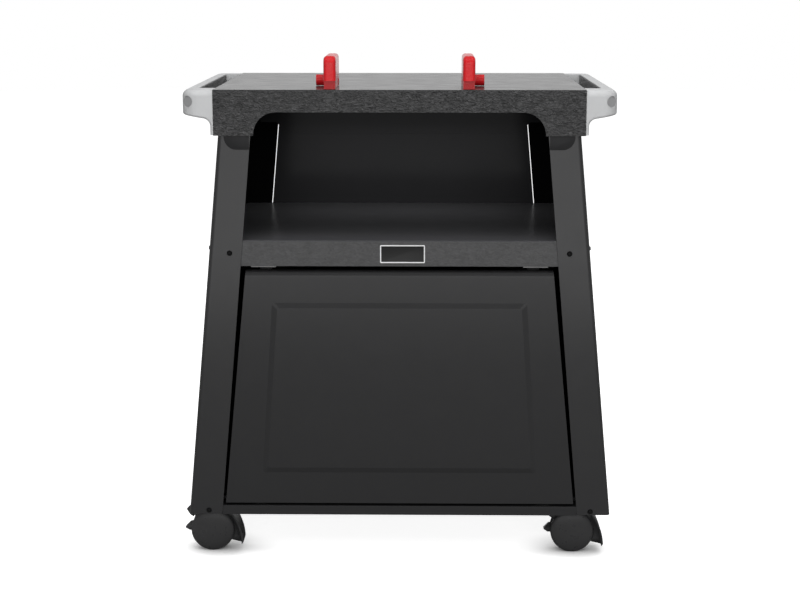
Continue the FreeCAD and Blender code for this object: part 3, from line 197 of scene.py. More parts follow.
class CartStage(bpy.types.PropertyGroup):
    """Camera, lamps and floor."""

    lens: FloatProperty(name="Lens", description="Focal length in millimetres on the sensor", default=75.63)
    sensor: FloatProperty(name="Sensor", description="Width of the sensor in millimetres", default=36)
    place: FloatVectorProperty(name="Camera place", description="Where the camera stands",
                               subtype="TRANSLATION", size=3, default=(0.04121, -2.98882, 0.98857))
    pitch: FloatProperty(name="Pitch", description="How far the camera looks down", subtype="ANGLE",
                         default=math.radians(10.956))
    yaw: FloatProperty(name="Yaw", description="How far the camera turns left", subtype="ANGLE",
                       default=math.radians(0.8347))
    floor_reach: measure("Floor reach", "Radius of the whole floor", 12)
    near_floor: measure("Near floor", "Radius of the floor that shows the cart's shadow", 1.3)
    far_floor: measure("Far floor", "Radius from which the floor is plain white", 3.0)
    near_mirror: measure("Near mirror", "Radius of the floor that is dark in reflections", 2.2)
    far_mirror: measure("Far mirror", "Radius from which the floor is white in reflections", 3.3)
    floor_pale: FloatProperty(name="Floor paleness", description="How pale the floor looks",
                              subtype="FACTOR", min=0, max=1, default=0.85)
    floor_bounce: FloatProperty(name="Floor bounce", description="How much light the floor throws back",
                                subtype="FACTOR", min=0, max=1, default=0.3)
    floor_glow: FloatProperty(name="Floor glow", subtype="FACTOR", min=0, max=1, default=0.86,
                              description="How white the floor stays in the cart's shadow")
    contact: measure("Contact shadow", "Reach of the soft shadow round what touches the floor", 0.07)
    ambient: FloatProperty(name="Ambient", description="Light from all round",
                           subtype="FACTOR", min=0, max=1, default=0.22)
    overhead: FloatProperty(name="Overhead", subtype="FACTOR", min=0, max=1, default=0.25,
                            description="How bright the sweep looks overhead in a reflection")
    beside: FloatProperty(name="Beside", subtype="FACTOR", min=0, max=1, default=0.25,
                          description="How bright the sweep looks beside the cart in a reflection")


# Shader helpers

class Shader:
    """The nodes of a material or a world, added and linked in order."""

    def __init__(self, owner):
        owner.use_nodes = True
        self.owner = owner
        self.nodes = owner.node_tree.nodes
        self.links = owner.node_tree.links
        self.surface = self.nodes.get("Principled BSDF")

    def add(self, kind, **settings):
        node = self.nodes.new("ShaderNode" + kind)
        for key, value in settings.items():
            setattr(node, key, value)
        return node

    def set(self, **inputs):
        """Constants on the surface's own sockets."""
        for key, value in inputs.items():
            self.surface.inputs[key.replace("_", " ")].default_value = value

    def link(self, source, target):
        self.links.new(source, target)

    def coordinates(self, size):
        """Object coordinates divided by a grain size along X, Y and Z."""
        where = self.add("TexCoord")
        scaled = self.add("Mapping")
        scaled.inputs["Scale"].default_value = [1 / length for length in size]
        self.link(where.outputs["Object"], scaled.inputs["Vector"])
        return scaled.outputs["Vector"]

    def noise(self, size, detail=2.0, roughness=0.5, distortion=0.0):
        texture = self.add("TexNoise")
        texture.inputs["Scale"].default_value = 1.0
        texture.inputs["Detail"].default_value = detail
        texture.inputs["Roughness"].default_value = roughness
        texture.inputs["Distortion"].default_value = distortion
        self.link(self.coordinates(size), texture.inputs["Vector"])
        return texture.outputs["Fac"]

    def spread(self, source, start, end, source_start=0.3, source_end=0.7):
        """Maps a texture's usual range to values from start to end."""
        node = self.add("MapRange")
        node.inputs["From Min"].default_value = source_start
        node.inputs["From Max"].default_value = source_end
        node.inputs["To Min"].default_value = start
        node.inputs["To Max"].default_value = end
        self.link(source, node.inputs["Value"])
        return node.outputs["Result"]

    def math(self, operation, first, second):
        """Two values joined; the second may be a plain number."""
        node = self.add("Math", operation=operation)
        self.link(first, node.inputs[0])
        if isinstance(second, (int, float)):
            node.inputs[1].default_value = second
        else:
            self.link(second, node.inputs[1])
        return node.outputs[0]

    def edge(self, radius):
        """1 along an edge and 0 on a flat face, by how far a rounded normal turns."""
        bevel = self.add("Bevel", samples=4)
        bevel.inputs["Radius"].default_value = radius
        geometry = self.add("NewGeometry")
        turn = self.add("VectorMath", operation="DOT_PRODUCT")
        self.link(bevel.outputs["Normal"], turn.inputs[0])
        self.link(geometry.outputs["Normal"], turn.inputs[1])
        on_edge, on_face = 0.80, 0.99
        return self.spread(turn.outputs["Value"], 1, 0, on_edge, on_face)

    def tint(self, colour, factor, amount, wear=0.0, wear_radius=1.0 * MM):
        """The colour, darker and lighter by the factor, and paler where its edges are rubbed."""
        blend = self.add("Mix", data_type="RGBA")
        blend.inputs["A"].default_value = [c * (1 - amount) for c in colour] + [1]
        blend.inputs["B"].default_value = [min(1, c * (1 + amount)) for c in colour] + [1]
        self.link(factor, blend.inputs["Factor"])
        result = blend.outputs["Result"]
        if wear:
            rubbed = self.add("Mix", data_type="RGBA")
            paler = [min(1, c * (1 + 2 * wear) + 0.01 * wear) for c in colour]
            rubbed.inputs["B"].default_value = paler + [1]
            self.link(self.edge(wear_radius), rubbed.inputs["Factor"])
            self.link(result, rubbed.inputs["A"])
            result = rubbed.outputs["Result"]
        self.link(result, self.surface.inputs["Base Color"])

    def rough(self, factor, middle, change):
        """A roughness that the factor moves to both sides of its middle."""
        self.link(self.spread(factor, middle - change, middle + change), self.surface.inputs["Roughness"])

    def bump(self, height, distance, strength=1.0, edge=0.0):
        """Surface relief, over edges that are softened by a small radius."""
        node = self.add("Bump")
        node.inputs["Strength"].default_value = strength
        node.inputs["Distance"].default_value = distance
        self.link(height, node.inputs["Height"])
        if edge:
            bevel = self.add("Bevel", samples=4)
            bevel.inputs["Radius"].default_value = edge
            self.link(bevel.outputs["Normal"], node.inputs["Normal"])
        self.link(node.outputs["Normal"], self.surface.inputs["Normal"])


def new_shader(name):
    """The shader of a new material."""
    return Shader(bpy.data.materials.new(name))


def cube_size(length):
    return (length, length, length)


def share_of(colour, share):
    """A colour made paler or darker by a share."""
    return tuple(share * part for part in colour)


# Finishes

COAT_CLOUD = 60 * MM
COAT_SHEEN = 40 * MM
COAT_PEEL = 1.1 * MM
COAT_SHADES = 0.04
COAT_SHEENS = 0.015
COAT_EDGE = 0.8 * MM
HAMMER_FINE_SIZE = 0.4
HAMMER_FINE_DEPTH = 0.45
HAMMER_HEIGHTS = (0.45, 1.0)
HAMMER_SHEENS = 0.06
HAMMER_EDGE = 0.9 * MM
PLASTIC_CLOUD = 30 * MM
PLASTIC_SHEEN = 12 * MM
PLASTIC_GRAIN = 0.8 * MM
PLASTIC_RELIEF = 0.015 * MM
PLASTIC_SHADES = 0.05
PLASTIC_SHEENS = 0.04
PLASTIC_EDGE = 0.5 * MM
DRAWN_LINE = (8 * MM, 8 * MM, 0.4 * MM)
DRAWN_RELIEF = 0.01 * MM
DRAWN_SHADES = 0.08
DRAWN_SHEENS = 0.08
DRAWN_EDGE = 0.3 * MM


def smooth_coat(name, colour, roughness, ior, wear=0.0, peel=0.02 * MM):
    """Satin powder coat with fine orange peel."""
    shader = new_shader(name)
    shader.set(IOR=ior)
    shader.tint(colour, shader.noise(cube_size(COAT_CLOUD), detail=1), COAT_SHADES, wear)
    sheen = shader.noise(cube_size(COAT_SHEEN), detail=1)
    shader.rough(sheen, roughness, COAT_SHEENS)
    shader.bump(shader.noise(cube_size(COAT_PEEL), detail=1), peel, edge=COAT_EDGE)
    return shader.owner


def hammered_coat(name, colour, settings, roughness, depth, ior, mottle):
    """Powder coat with long low wrinkles, and finer ones on them."""
    shader = new_shader(name)
    shader.set(IOR=ior)
    size = Vector((settings.grain_long, settings.grain_long, settings.grain_short))
    grain = shader.noise(size, detail=2, roughness=0.5, distortion=1.2)
    fine = shader.noise(size * HAMMER_FINE_SIZE, detail=1, distortion=0.5)
    height = shader.math("ADD", grain, shader.math("MULTIPLY", fine, HAMMER_FINE_DEPTH))
    shader.tint(colour, shader.spread(height, 0, 1, *HAMMER_HEIGHTS), mottle, settings.wear)
    shader.rough(fine, roughness, HAMMER_SHEENS)
    shader.bump(height, depth, edge=HAMMER_EDGE)
    return shader.owner


def moulded_plastic(name, colour, roughness, wear=0.0, ior=1.46):
    """Moulded plastic with a fine spark-eroded texture."""
    shader = new_shader(name)
    shader.set(IOR=ior)
    shader.tint(colour, shader.noise(cube_size(PLASTIC_CLOUD), detail=3), PLASTIC_SHADES, wear)
    shader.rough(shader.noise(cube_size(PLASTIC_SHEEN)), roughness, PLASTIC_SHEENS)
    shader.bump(shader.noise(cube_size(PLASTIC_GRAIN), detail=2), PLASTIC_RELIEF, edge=PLASTIC_EDGE)
    return shader.owner


def lever_plastic(name, colour, roughness, band):
    """Glossy moulded plastic, with a deeper band at the front of its foot."""
    shader = new_shader(name)
    shader.set(IOR=1.4, Coat_Weight=0.15, Coat_Roughness=0.12)
    place = shader.add("SeparateXYZ")
    shader.link(shader.add("TexCoord").outputs["Object"], place.inputs["Vector"])
    band_shade, band_blur = 0.58, 0.1 * MM
    band_head = low("left_lever", 2) + band
    above = shader.spread(place.outputs["Z"], band_shade, 1.0, band_head - band_blur, band_head + band_blur)
    band_back = low("left_lever", 1) + 2 * band
    behind = shader.spread(place.outputs["Y"], 0.0, 1.0, band_back, band_back + MM)
    clear = shader.math("MAXIMUM", above, behind)
    cloud = shader.noise(cube_size(PLASTIC_CLOUD), detail=3)
    mottle = shader.spread(cloud, 1 - PLASTIC_SHADES, 1 + PLASTIC_SHADES)
    blend = shader.add("Mix", data_type="RGBA")
    blend.inputs["A"].default_value = (0, 0, 0, 1)
    lightest = 1.06
    blend.inputs["B"].default_value = [lightest * c for c in colour] + [1]
    shader.link(shader.math("MULTIPLY", clear, mottle), blend.inputs["Factor"])
    shader.link(blend.outputs["Result"], shader.surface.inputs["Base Color"])
    shader.rough(shader.noise(cube_size(PLASTIC_SHEEN)), roughness, PLASTIC_SHEENS)
    shader.bump(shader.noise(cube_size(PLASTIC_GRAIN), detail=2), PLASTIC_RELIEF, edge=PLASTIC_EDGE)
    return shader.owner


def plated_steel(name, colour, roughness):
    """Plated or bright steel with faint drawn lines."""
    shader = new_shader(name)
    shader.set(Metallic=1.0)
    lines = shader.noise(DRAWN_LINE, detail=2)
    shader.tint(colour, lines, DRAWN_SHADES)
    shader.rough(lines, roughness, DRAWN_SHEENS)
    shader.bump(lines, DRAWN_RELIEF, edge=DRAWN_EDGE)
    return shader.owner


# Painted shade: how much darker the leg tabs are than the leg coat, for the apron's shade on them.
TAB_PAINTED_SHADE_SHARE = 0.9
RAIL_SHARE = 1.22
BACK_PANEL_SHARE = 2.7
# Painted light and reflection: how much paler the shelf's coat is than the inner coat.
SHELF_PAINTED_LIGHT_SHARE = 8.8
# Painted shade: how much darker the inward faces of legs and side panels are than the inner coat.
INNER_PAINTED_SHADE_SHARE = 0.4
SCREW_BLACK = (0.004, 0.004, 0.0042)
PLATE_BLACK = (0.008, 0.008, 0.008)
RIM_WHITE = (0.80, 0.80, 0.80)
CATCH_GREY = (0.30, 0.30, 0.30)
ZINC_GREY = (0.56, 0.56, 0.57)


def make_finishes(settings):
    """Every finish by its name; a share is how much paler or darker a coat is than the one it is like."""
    smooth, hammered, inside = tuple(settings.smooth), tuple(settings.hammered), tuple(settings.inside)
    wear = settings.wear
    return {
        "table": smooth_coat("Table satin coat", smooth, roughness=0.24, ior=1.5, wear=wear, peel=0.002 * MM),
        "legs": smooth_coat("Leg satin coat", smooth, roughness=0.20, ior=1.62, wear=wear, peel=0.006 * MM),
        "door": smooth_coat("Door satin coat", smooth, roughness=0.20, ior=1.51, wear=wear, peel=0.006 * MM),
        # Painted shade: a darker, duller copy of the leg coat for the apron's shade on the tabs.
        "tab": smooth_coat("Tab coat with painted shade", share_of(smooth, TAB_PAINTED_SHADE_SHARE), roughness=0.40, ior=1.28, wear=wear),
        "hammered": hammered_coat("Hammered coat", hammered, settings, roughness=0.34, depth=8.0 * MM,
                                  ior=1.70, mottle=0.65),
        "rail": hammered_coat("Rail hammered coat", share_of(hammered, RAIL_SHARE), settings, roughness=0.42,
                              depth=0.3 * MM, ior=1.45, mottle=0.25),
        "inside": smooth_coat("Inner glossy coat", share_of(inside, BACK_PANEL_SHARE), roughness=0.14,
                              ior=1.20, wear=wear, peel=0.003 * MM),
        # Painted light and reflection: the shelf's coat is made far paler than the inner coat it copies.
        "shelf": smooth_coat("Shelf coat with painted light", share_of(inside, SHELF_PAINTED_LIGHT_SHARE), roughness=0.30,
                             ior=1.20, wear=wear, peel=0.003 * MM),
        # Painted shade: a much darker copy of the inner coat, nearly without gloss, for the faces that look
        # into the cart.
        "side": smooth_coat("Inner faces painted shade", share_of(inside, INNER_PAINTED_SHADE_SHARE), roughness=0.5, ior=1.02),
        "silver": moulded_plastic("Handle plastic", tuple(settings.silver), roughness=0.42),
        "plug": moulded_plastic("Plug plastic", tuple(settings.plug), roughness=0.5),
        "red": lever_plastic("Lever plastic", tuple(settings.red), roughness=0.28, band=settings.base_band),
        "caster": moulded_plastic("Caster plastic", tuple(settings.caster), roughness=0.30, ior=1.50,
                                  wear=wear),
        "steel": plated_steel("Zinc plated steel", ZINC_GREY, roughness=0.35),
        "screw": smooth_coat("Black screw finish", SCREW_BLACK, roughness=0.35, ior=1.30),
        "catch": moulded_plastic("Catch plastic", CATCH_GREY, roughness=0.4),
        "rim": smooth_coat("White plate rim", RIM_WHITE, roughness=0.30, ior=1.45),
        "field": smooth_coat("Plate field", PLATE_BLACK, roughness=0.30, ior=1.5),
    }


NODE_FINISH = {
    "table_top": "table", "door_panel": "door", "back_panel": "inside", "storage_shelf": "shelf",
    "rear_rail": "inside", "floor_panel": "door", "door_hinge_brackets": "legs", "door_hinge_pins": "screw",
    "door_catches": "catch", "handle_plugs": "plug", "caster_nuts": "steel",
}
# A side panel's 'side' finish is painted shade; CART_OT_inner_faces gives its outer faces the leg coat.
ENDING_FINISH = {
    "_apron": "hammered", "_rail": "rail", "_side_panel": "side", "_liner": "hammered", "_leg": "legs",
    "_handle": "silver", "_lever": "red", "_lug": "legs", "_pin": "steel", "_stem": "steel", "_axle": "steel",
    "_hood": "caster", "_wheel": "caster", "_pedal": "caster", "_screws": "screw",
}


def finish_of(node):
    """Which finish a CAD node has, by its name or the ending of its name."""
    if node in NODE_FINISH:
        return NODE_FINISH[node]
    return next(finish for ending, finish in ENDING_FINISH.items() if node.endswith(ending))


finishes = {}


class CART_OT_finishes(bpy.types.Operator):
    """Give every part of the frame its finish"""

    bl_idname = "cart.finishes"
    bl_label = "Finishes"

    def execute(self, context):
        finishes.update(make_finishes(context.scene.cart_finishes))
        for name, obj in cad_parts.items():
            obj.data.materials.clear()
            obj.data.materials.append(finishes[finish_of(name)])
        return {"FINISHED"}


# Modelling helpers

FINE_EDGE = 0.15 * MM
SMALL_EDGE = 0.3 * MM
PLATE_EDGE = 0.4 * MM
LOBE_EDGE = 0.5 * MM
CRISP = math.radians(35)
ROUND = math.radians(40)
MERGE = 0.005 * MM
NEAR = 0.2 * MM
ALONG = 0.9


def deselect():
    if bpy.context.object and bpy.context.object.mode != "OBJECT":
        bpy.ops.object.mode_set(mode="OBJECT")
    bpy.ops.object.select_all(action="DESELECT")


def activate(obj):
    deselect()
    obj.select_set(True)
    bpy.context.view_layer.objects.active = obj


def new_block(name, lowest, highest):
    """A cube stretched between two corners, with its place in its mesh."""
    deselect()
    centre = (Vector(lowest) + Vector(highest)) / 2
    size = Vector(highest) - Vector(lowest)
    bpy.ops.mesh.primitive_cube_add(size=1, location=centre)
    obj = bpy.context.object
    obj.name = name
    obj.scale = size
    bpy.ops.object.transform_apply(location=True, rotation=True, scale=True)
    return obj


def side_block(name, sign, near, far, lowest, highest):
    """A block between two distances from the middle, on the left or right side, and two corners in YZ."""
    near, far = sorted((sign * near, sign * far))
    return new_block(name, (near, *lowest), (far, *highest))


def pick(obj, kind, test):
    """In edit mode, select the faces, edges or vertices whose middle passes a test."""
    activate(obj)
    bpy.ops.object.mode_set(mode="EDIT")
    bpy.ops.mesh.select_mode(type=kind)
    bpy.ops.mesh.select_all(action="DESELECT")
    bpy.ops.object.mode_set(mode="OBJECT")
    mesh = obj.data
    if kind == "FACE":
        for face in mesh.polygons:
            face.select = test(face.center, face.normal)
    elif kind == "EDGE":
        for edge in mesh.edges:
            first, second = (mesh.vertices[index].co for index in edge.vertices)
            edge.select = test((first + second) / 2, (second - first).normalized())
    else:
        for vertex in mesh.vertices:
            vertex.select = test(vertex.co, vertex.normal)
    bpy.ops.object.mode_set(mode="EDIT")


def leave_edit():
    bpy.ops.object.mode_set(mode="OBJECT")


def bevel_all(obj, width, segments=2, angle=CRISP):
    """A bevel on every crisp edge, applied, and smooth shading."""
    activate(obj)
    modifier = obj.modifiers.new("Edges", "BEVEL")
    modifier.width = width
    modifier.segments = segments
    modifier.limit_method = "ANGLE"
    modifier.angle_limit = angle
    bpy.ops.object.modifier_apply(modifier=modifier.name)
    bpy.ops.object.shade_smooth_by_angle(angle=ROUND)


def paint(obj, finish):
    obj.data.materials.clear()
    obj.data.materials.append(finishes[finish])


def merged_copy(node, name):
    """A new object with a copy of a CAD node's mesh, its doubles merged."""
    piece = bpy.data.objects.new(name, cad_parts[node].data.copy())
    bpy.context.scene.collection.objects.link(piece)
    activate(piece)
    bpy.ops.object.mode_set(mode="EDIT")
    bpy.ops.mesh.select_all(action="SELECT")
    bpy.ops.mesh.remove_doubles(threshold=MERGE)
    leave_edit()
    return piece


def copy_of(piece, name, move):
    """A copy with its own mesh, moved within it."""
    twin = bpy.data.objects.new(name, piece.data.copy())
    bpy.context.scene.collection.objects.link(twin)
    twin.data.transform(move)
    return twin


def loose_parts(piece):
    """The piece's solids, each as an object of its own."""
    activate(piece)
    bpy.ops.mesh.separate(type="LOOSE")
    return list(bpy.context.selected_objects)


def joined(parts, name):
    """Objects joined into one, with its origin at the frame's origin."""
    deselect()
    for part in parts:
        part.select_set(True)
    bpy.context.view_layer.objects.active = parts[0]
    bpy.ops.object.join()
    parts[0].name = name
    return parts[0]


# Legs and side panels with painted shade on the faces that look into the cart, and the back panel's inner
# coat

# The 'side' finish on the inward faces of legs and side panels is painted shade.
INNER_FINISH = {"_leg": "side", "_side_panel": "side", "back_panel": "inside"}


class CART_OT_inner_faces(bpy.types.Operator):
    """Give legs and panels their full coat outside; on the faces that look inwards, paint shade on legs and
    side panels with a dark coat without gloss, and give the back panel its inner coat
    """

    bl_idname = "cart.inner_faces"
    bl_label = "Inner faces"

    def execute(self, context):
        for node in list(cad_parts):
            inner = next((INNER_FINISH[ending] for ending in INNER_FINISH if node.endswith(ending)), None)
            if inner is None:
                continue
            piece = merged_copy(node, node + "_coated")
            piece.data.materials.clear()
            piece.data.materials.append(finishes["door" if node == "back_panel" else "legs"])
            piece.data.materials.append(finishes[inner])
            for face in piece.data.polygons:
                outward = face.normal.x * face.center.x + face.normal.y * face.center.y
                face.material_index = 1 if outward < 0 else 0
            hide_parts(node)
            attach(piece, "cart")
        return {"FINISHED"}


# The bare plate

class CART_OT_plate(bpy.types.Operator):
    """Add the bare plate with its raised rim to the cross rail"""

    bl_idname = "cart.plate"
    bl_label = "Bare plate"

    def execute(self, context):
        sizes = context.scene.cart_plate
        front = RAIL_FACE_Y - sizes.thickness
        far_corner = (sizes.right, RAIL_FACE_Y, sizes.head)
        plate = new_block("rail_plate", (sizes.left, front, sizes.foot), far_corner)
        pick(plate, "EDGE", lambda middle, along: abs(along.y) > ALONG)
        bpy.ops.mesh.bevel(offset=sizes.corner, segments=4, affect="EDGES")
        pick(plate, "FACE", lambda middle, normal: normal.y < -ALONG)
        bpy.ops.mesh.inset(thickness=sizes.rim, depth=0)
        bpy.ops.mesh.inset(thickness=sizes.step, depth=-sizes.sink)
        leave_edit()
        bevel_all(plate, FINE_EDGE)
        plate.data.materials.append(finishes["rim"])
        plate.data.materials.append(finishes["field"])
        for face in plate.data.polygons:
            if face.normal.y < -ALONG and face.center.y > front + sizes.sink / 2:
                face.material_index = 1
        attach(plate, "cart")
        return {"FINISHED"}


# Tabs under the apron's corners

class CART_OT_tabs(bpy.types.Operator):
    """Add the thin tab with its rounded corner to the head of each front leg"""

    bl_idname = "cart.tabs"
    bl_label = "Leg tabs"

    def execute(self, context):
        sizes = context.scene.cart_tabs
        front = LEG_FACE_Y - sizes.thickness
        foot = APRON_FOOT - sizes.drop
        for side, sign in SIDES:
            tab = side_block(side + "_leg_tab", sign, sizes.inner, sizes.outer, (front, foot),
                             (LEG_FACE_Y, APRON_FOOT))
            pick(tab, "EDGE", lambda middle, along: abs(along.y) > ALONG and middle.z < foot + NEAR
                 and abs(middle.x) > sizes.outer - NEAR)
            bpy.ops.mesh.bevel(offset=sizes.corner, segments=12, affect="EDGES")
            leave_edit()
            bevel_all(tab, FINE_EDGE)
            # The tab's shape is read as a real step; its darker, duller coat is painted shade from the apron
            # above.
            paint(tab, "tab")
            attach(tab, "cart")
        return {"FINISHED"}


# Door catches

class CART_OT_catches(bpy.types.Operator):
    """Give each door catch its plate and the magnet that hangs behind the door's rolled edge"""

    bl_idname = "cart.catches"
    bl_label = "Door catches"

    def execute(self, context):
        sizes = context.scene.cart_catches
        node = "door_catches"
        foot, head = low(node, 2), high(node, 2)
        front, back = low(node, 1), high(node, 1)
        outer = high(node, 0)
        parts = []
        for side, sign in SIDES:
            name = side + "_catch"
            plate = side_block(name, sign, outer - sizes.length, outer, (front, foot), (back, head))
            bevel_all(plate, PLATE_EDGE)
            magnet_at = outer - sizes.magnet_start
            lowest = (back - sizes.magnet_depth, foot - sizes.magnet_drop)
            magnet = side_block(name, sign, magnet_at - sizes.magnet_length, magnet_at, lowest,
                                (back, foot + NEAR))
            pick(magnet, "FACE", lambda middle, normal: normal.z < -ALONG)
            bpy.ops.mesh.inset(thickness=sizes.pole, depth=sizes.pole_rise)
            leave_edit()
            bevel_all(magnet, SMALL_EDGE)
            plate.data.materials.append(finishes["catch"])
            magnet.data.materials.append(finishes["screw"])
            parts += [plate, magnet]
        catches = joined(parts, "door_catches_shaped")
        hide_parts(node)
        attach(catches, "cart")
        return {"FINISHED"}


# Screw heads

def crown_of(screw):
    """The middle of a screw's crown and the way that it faces: the smaller end of a cone-shaped head."""
    points = [vertex.co for vertex in screw.data.vertices]
    spans = [max(point[axis] for point in points) - min(point[axis] for point in points) for axis in range(3)]
    along = Vector([float(span == max(spans)) for span in spans])
    ends = []
    for outward in (along, -along):
        faces = [face for face in screw.data.polygons if face.normal.dot(outward) > ALONG]
        area = sum(face.area for face in faces)
        middle = sum((face.center * face.area for face in faces), Vector()) / area
        facing = sum((face.normal * face.area for face in faces), Vector()).normalized()
        ends.append((area, middle, facing))
    return min(ends, key=lambda end: end[0])[1:]


def cross_cutter(sizes):
    """A cross-shaped punch that narrows downwards, its head at the origin and facing up."""
    half = sizes.width / 2
    punch = new_block("recess_punch", (-half, -half, -sizes.depth), (half, half, sizes.depth))
    pick(punch, "FACE", lambda middle, normal: abs(normal.z) < 1 - ALONG)
    bpy.ops.mesh.extrude_faces_move(TRANSFORM_OT_shrink_fatten={"value": sizes.reach - half})
    pick(punch, "VERT", lambda place, normal: place.z < 0)
    bpy.ops.transform.resize(value=(sizes.taper, sizes.taper, 1))
    leave_edit()
    return punch


class CART_OT_screws(bpy.types.Operator):
    """Cut the cross recess into every screw head"""

    bl_idname = "cart.screws"
    bl_label = "Screw recesses"

    def execute(self, context):
        punch = cross_cutter(context.scene.cart_screws)
        for node in ("frame_screws", "floor_screws", "handle_screws"):
            screws = loose_parts(merged_copy(node, node + "_recessed"))
            for screw in screws:
                middle, facing = crown_of(screw)
                turn = facing.to_track_quat("Z", "Y").to_matrix().to_4x4()
                cutter = copy_of(punch, "recess_cutter", Matrix.Translation(middle) @ turn)
                activate(screw)
                recess = screw.modifiers.new("Recess", "BOOLEAN")
                recess.object = cutter
                bpy.ops.object.modifier_apply(modifier=recess.name)
                bpy.data.objects.remove(cutter)
            piece = joined(screws, node + "_recessed")
            bpy.ops.object.shade_smooth_by_angle(angle=CRISP)
            paint(piece, "screw")
            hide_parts(node)
            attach(piece, "cart")
        bpy.data.objects.remove(punch)
        return {"FINISHED"}


# Casters

WHEEL_SIDES = 96
WHEEL_CRISP = math.radians(50)


def inset_to(way, radius, height, radius_now, height_now):
    """In edit mode, rings the picked round face with faces to a smaller one; way is 1 for up, -1 for down."""
    least = 0.01 * MM
    bpy.ops.mesh.inset(thickness=max(radius_now - radius, least), depth=way * (height - height_now))
    return min(radius, radius_now - least), height


def model_wheel(sizes, radius, width):
    """A wheel round the Z axis: its crowned face above, and its open side with rim and hub at the origin."""
    deselect()
    edge = sizes.tread_edge
    shoulder = width - sizes.crown
    bpy.ops.mesh.primitive_cylinder_add(vertices=WHEEL_SIDES, radius=radius, depth=shoulder - edge,
                                        location=(0, 0, (shoulder + edge) / 2))
    wheel = bpy.context.object
    bpy.ops.object.transform_apply(location=True, rotation=False, scale=False)
    pick(wheel, "FACE", lambda middle, normal: normal.z > ALONG)
    at = (radius, shoulder)
    for ring in range(1, sizes.rings + 1):
        turn = sizes.crown_turn * ring / sizes.rings
        at = inset_to(1, radius * math.cos(turn), shoulder + sizes.crown * math.sin(turn), *at)
    pick(wheel, "FACE", lambda middle, normal: normal.z < -ALONG)
    at = (radius, edge)
    rim, hub, axle, room = radius - sizes.rim, sizes.hub, sizes.axle, sizes.room
    for step in ((radius - edge, 0), (rim, 0), (rim, room), (hub, room), (hub, 0), (axle, 0), (axle, room)):
        at = inset_to(-1, *step, *at)
    leave_edit()
    bevel_all(wheel, SMALL_EDGE, segments=1, angle=WHEEL_CRISP)
    return wheel


class CART_OT_wheels(bpy.types.Operator):
    """Put a crowned wheel in place of every plain one"""

    bl_idname = "cart.wheels"
    bl_label = "Caster wheels"

    def execute(self, context):
        sizes = context.scene.cart_casters
        nodes = [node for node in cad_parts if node.endswith("_wheel")]
        radius = (high(nodes[0], 2) - low(nodes[0], 2)) / 2
        width = high(nodes[0], 1) - low(nodes[0], 1)
        model = model_wheel(sizes, radius, width)
        for node in nodes:
            hood = node.replace("_outer_wheel", "_hood").replace("_inner_wheel", "_hood")
            back = middle_of(node, 1) > middle_of(hood, 1)
            start = low(node, 1) if back else high(node, 1)
            turn = Matrix.Rotation(math.radians(-90 if back else 90), 4, "X")
            place = Matrix.Translation((middle_of(node, 0), start, middle_of(node, 2)))
            wheel = copy_of(model, node + "_crowned", place @ turn)
            paint(wheel, "caster")
            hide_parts(node)
            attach(wheel, node)
        bpy.data.objects.remove(model)
        return {"FINISHED"}


class CART_OT_hoods(bpy.types.Operator):
    """Give every caster hood its slanted foot with a bevelled tip"""

    bl_idname = "cart.hoods"
    bl_label = "Caster hoods"

    def execute(self, context):
        sizes = context.scene.cart_casters
        for node in [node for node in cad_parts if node.endswith("_hood")]:
            hood = merged_copy(node, node + "_shaped")
            foot = low(node, 2)
            tip = high(node, 0)
            knee = tip - sizes.hood_slope
            activate(hood)
            bpy.ops.object.mode_set(mode="EDIT")
            bpy.ops.mesh.select_all(action="SELECT")
            bpy.ops.mesh.bisect(plane_co=(knee, 0, 0), plane_no=(1, 0, 0))
            pick(hood, "VERT", lambda place, normal: place.z < foot + NEAR / 2 and place.x > knee + MM)
            bpy.ops.transform.translate(value=(0, 0, -sizes.hood_drop))
            pick(hood, "EDGE", lambda middle, along: abs(along.y) > ALONG and middle.x > tip - NEAR
                 and middle.z < foot - sizes.hood_drop + NEAR)
            bpy.ops.mesh.bevel(offset=sizes.hood_tip, segments=6, affect="EDGES")
            leave_edit()
            bpy.ops.object.shade_smooth_by_angle(angle=CRISP)
            paint(hood, "caster")
            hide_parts(node)
            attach(hood, node.replace("_hood", "_caster"))
        return {"FINISHED"}


def cut_block(name, lowest, highest, cuts):
    """A block with its corners cut away by planes, each a point on it and the way that is cut off."""
    block = new_block(name, lowest, highest)
    activate(block)
    bpy.ops.object.mode_set(mode="EDIT")
    for point, away in cuts:
        bpy.ops.mesh.select_all(action="SELECT")
        bpy.ops.mesh.bisect(plane_co=point, plane_no=away, use_fill=True, clear_outer=True)
    leave_edit()
    bevel_all(block, LOBE_EDGE)
    return block


def point_from(corner, across, up):
    """The point that lies across and up from a corner."""
    return corner + Vector((across, 0, up))


# The ways that the slopes of a brake pedal's lobes face

LOWER_FRONT_SLOPES = ((0, -9, 13.6), (0, -7, -11.3))
LOWER_OUTER_SLOPES = ((-6.1, 0, 3), (-6.4, 0, -7.6))
LOWER_BROW_SLOPE = (-3.3, 0, 6.2)
UPPER_FRONT_SLOPES = ((0, -13.5, 11.3), (0, -4.5, -7.3))
UPPER_OUTER_SLOPES = ((-12.2, 0, -7.5), (-5.8, 0, 4))


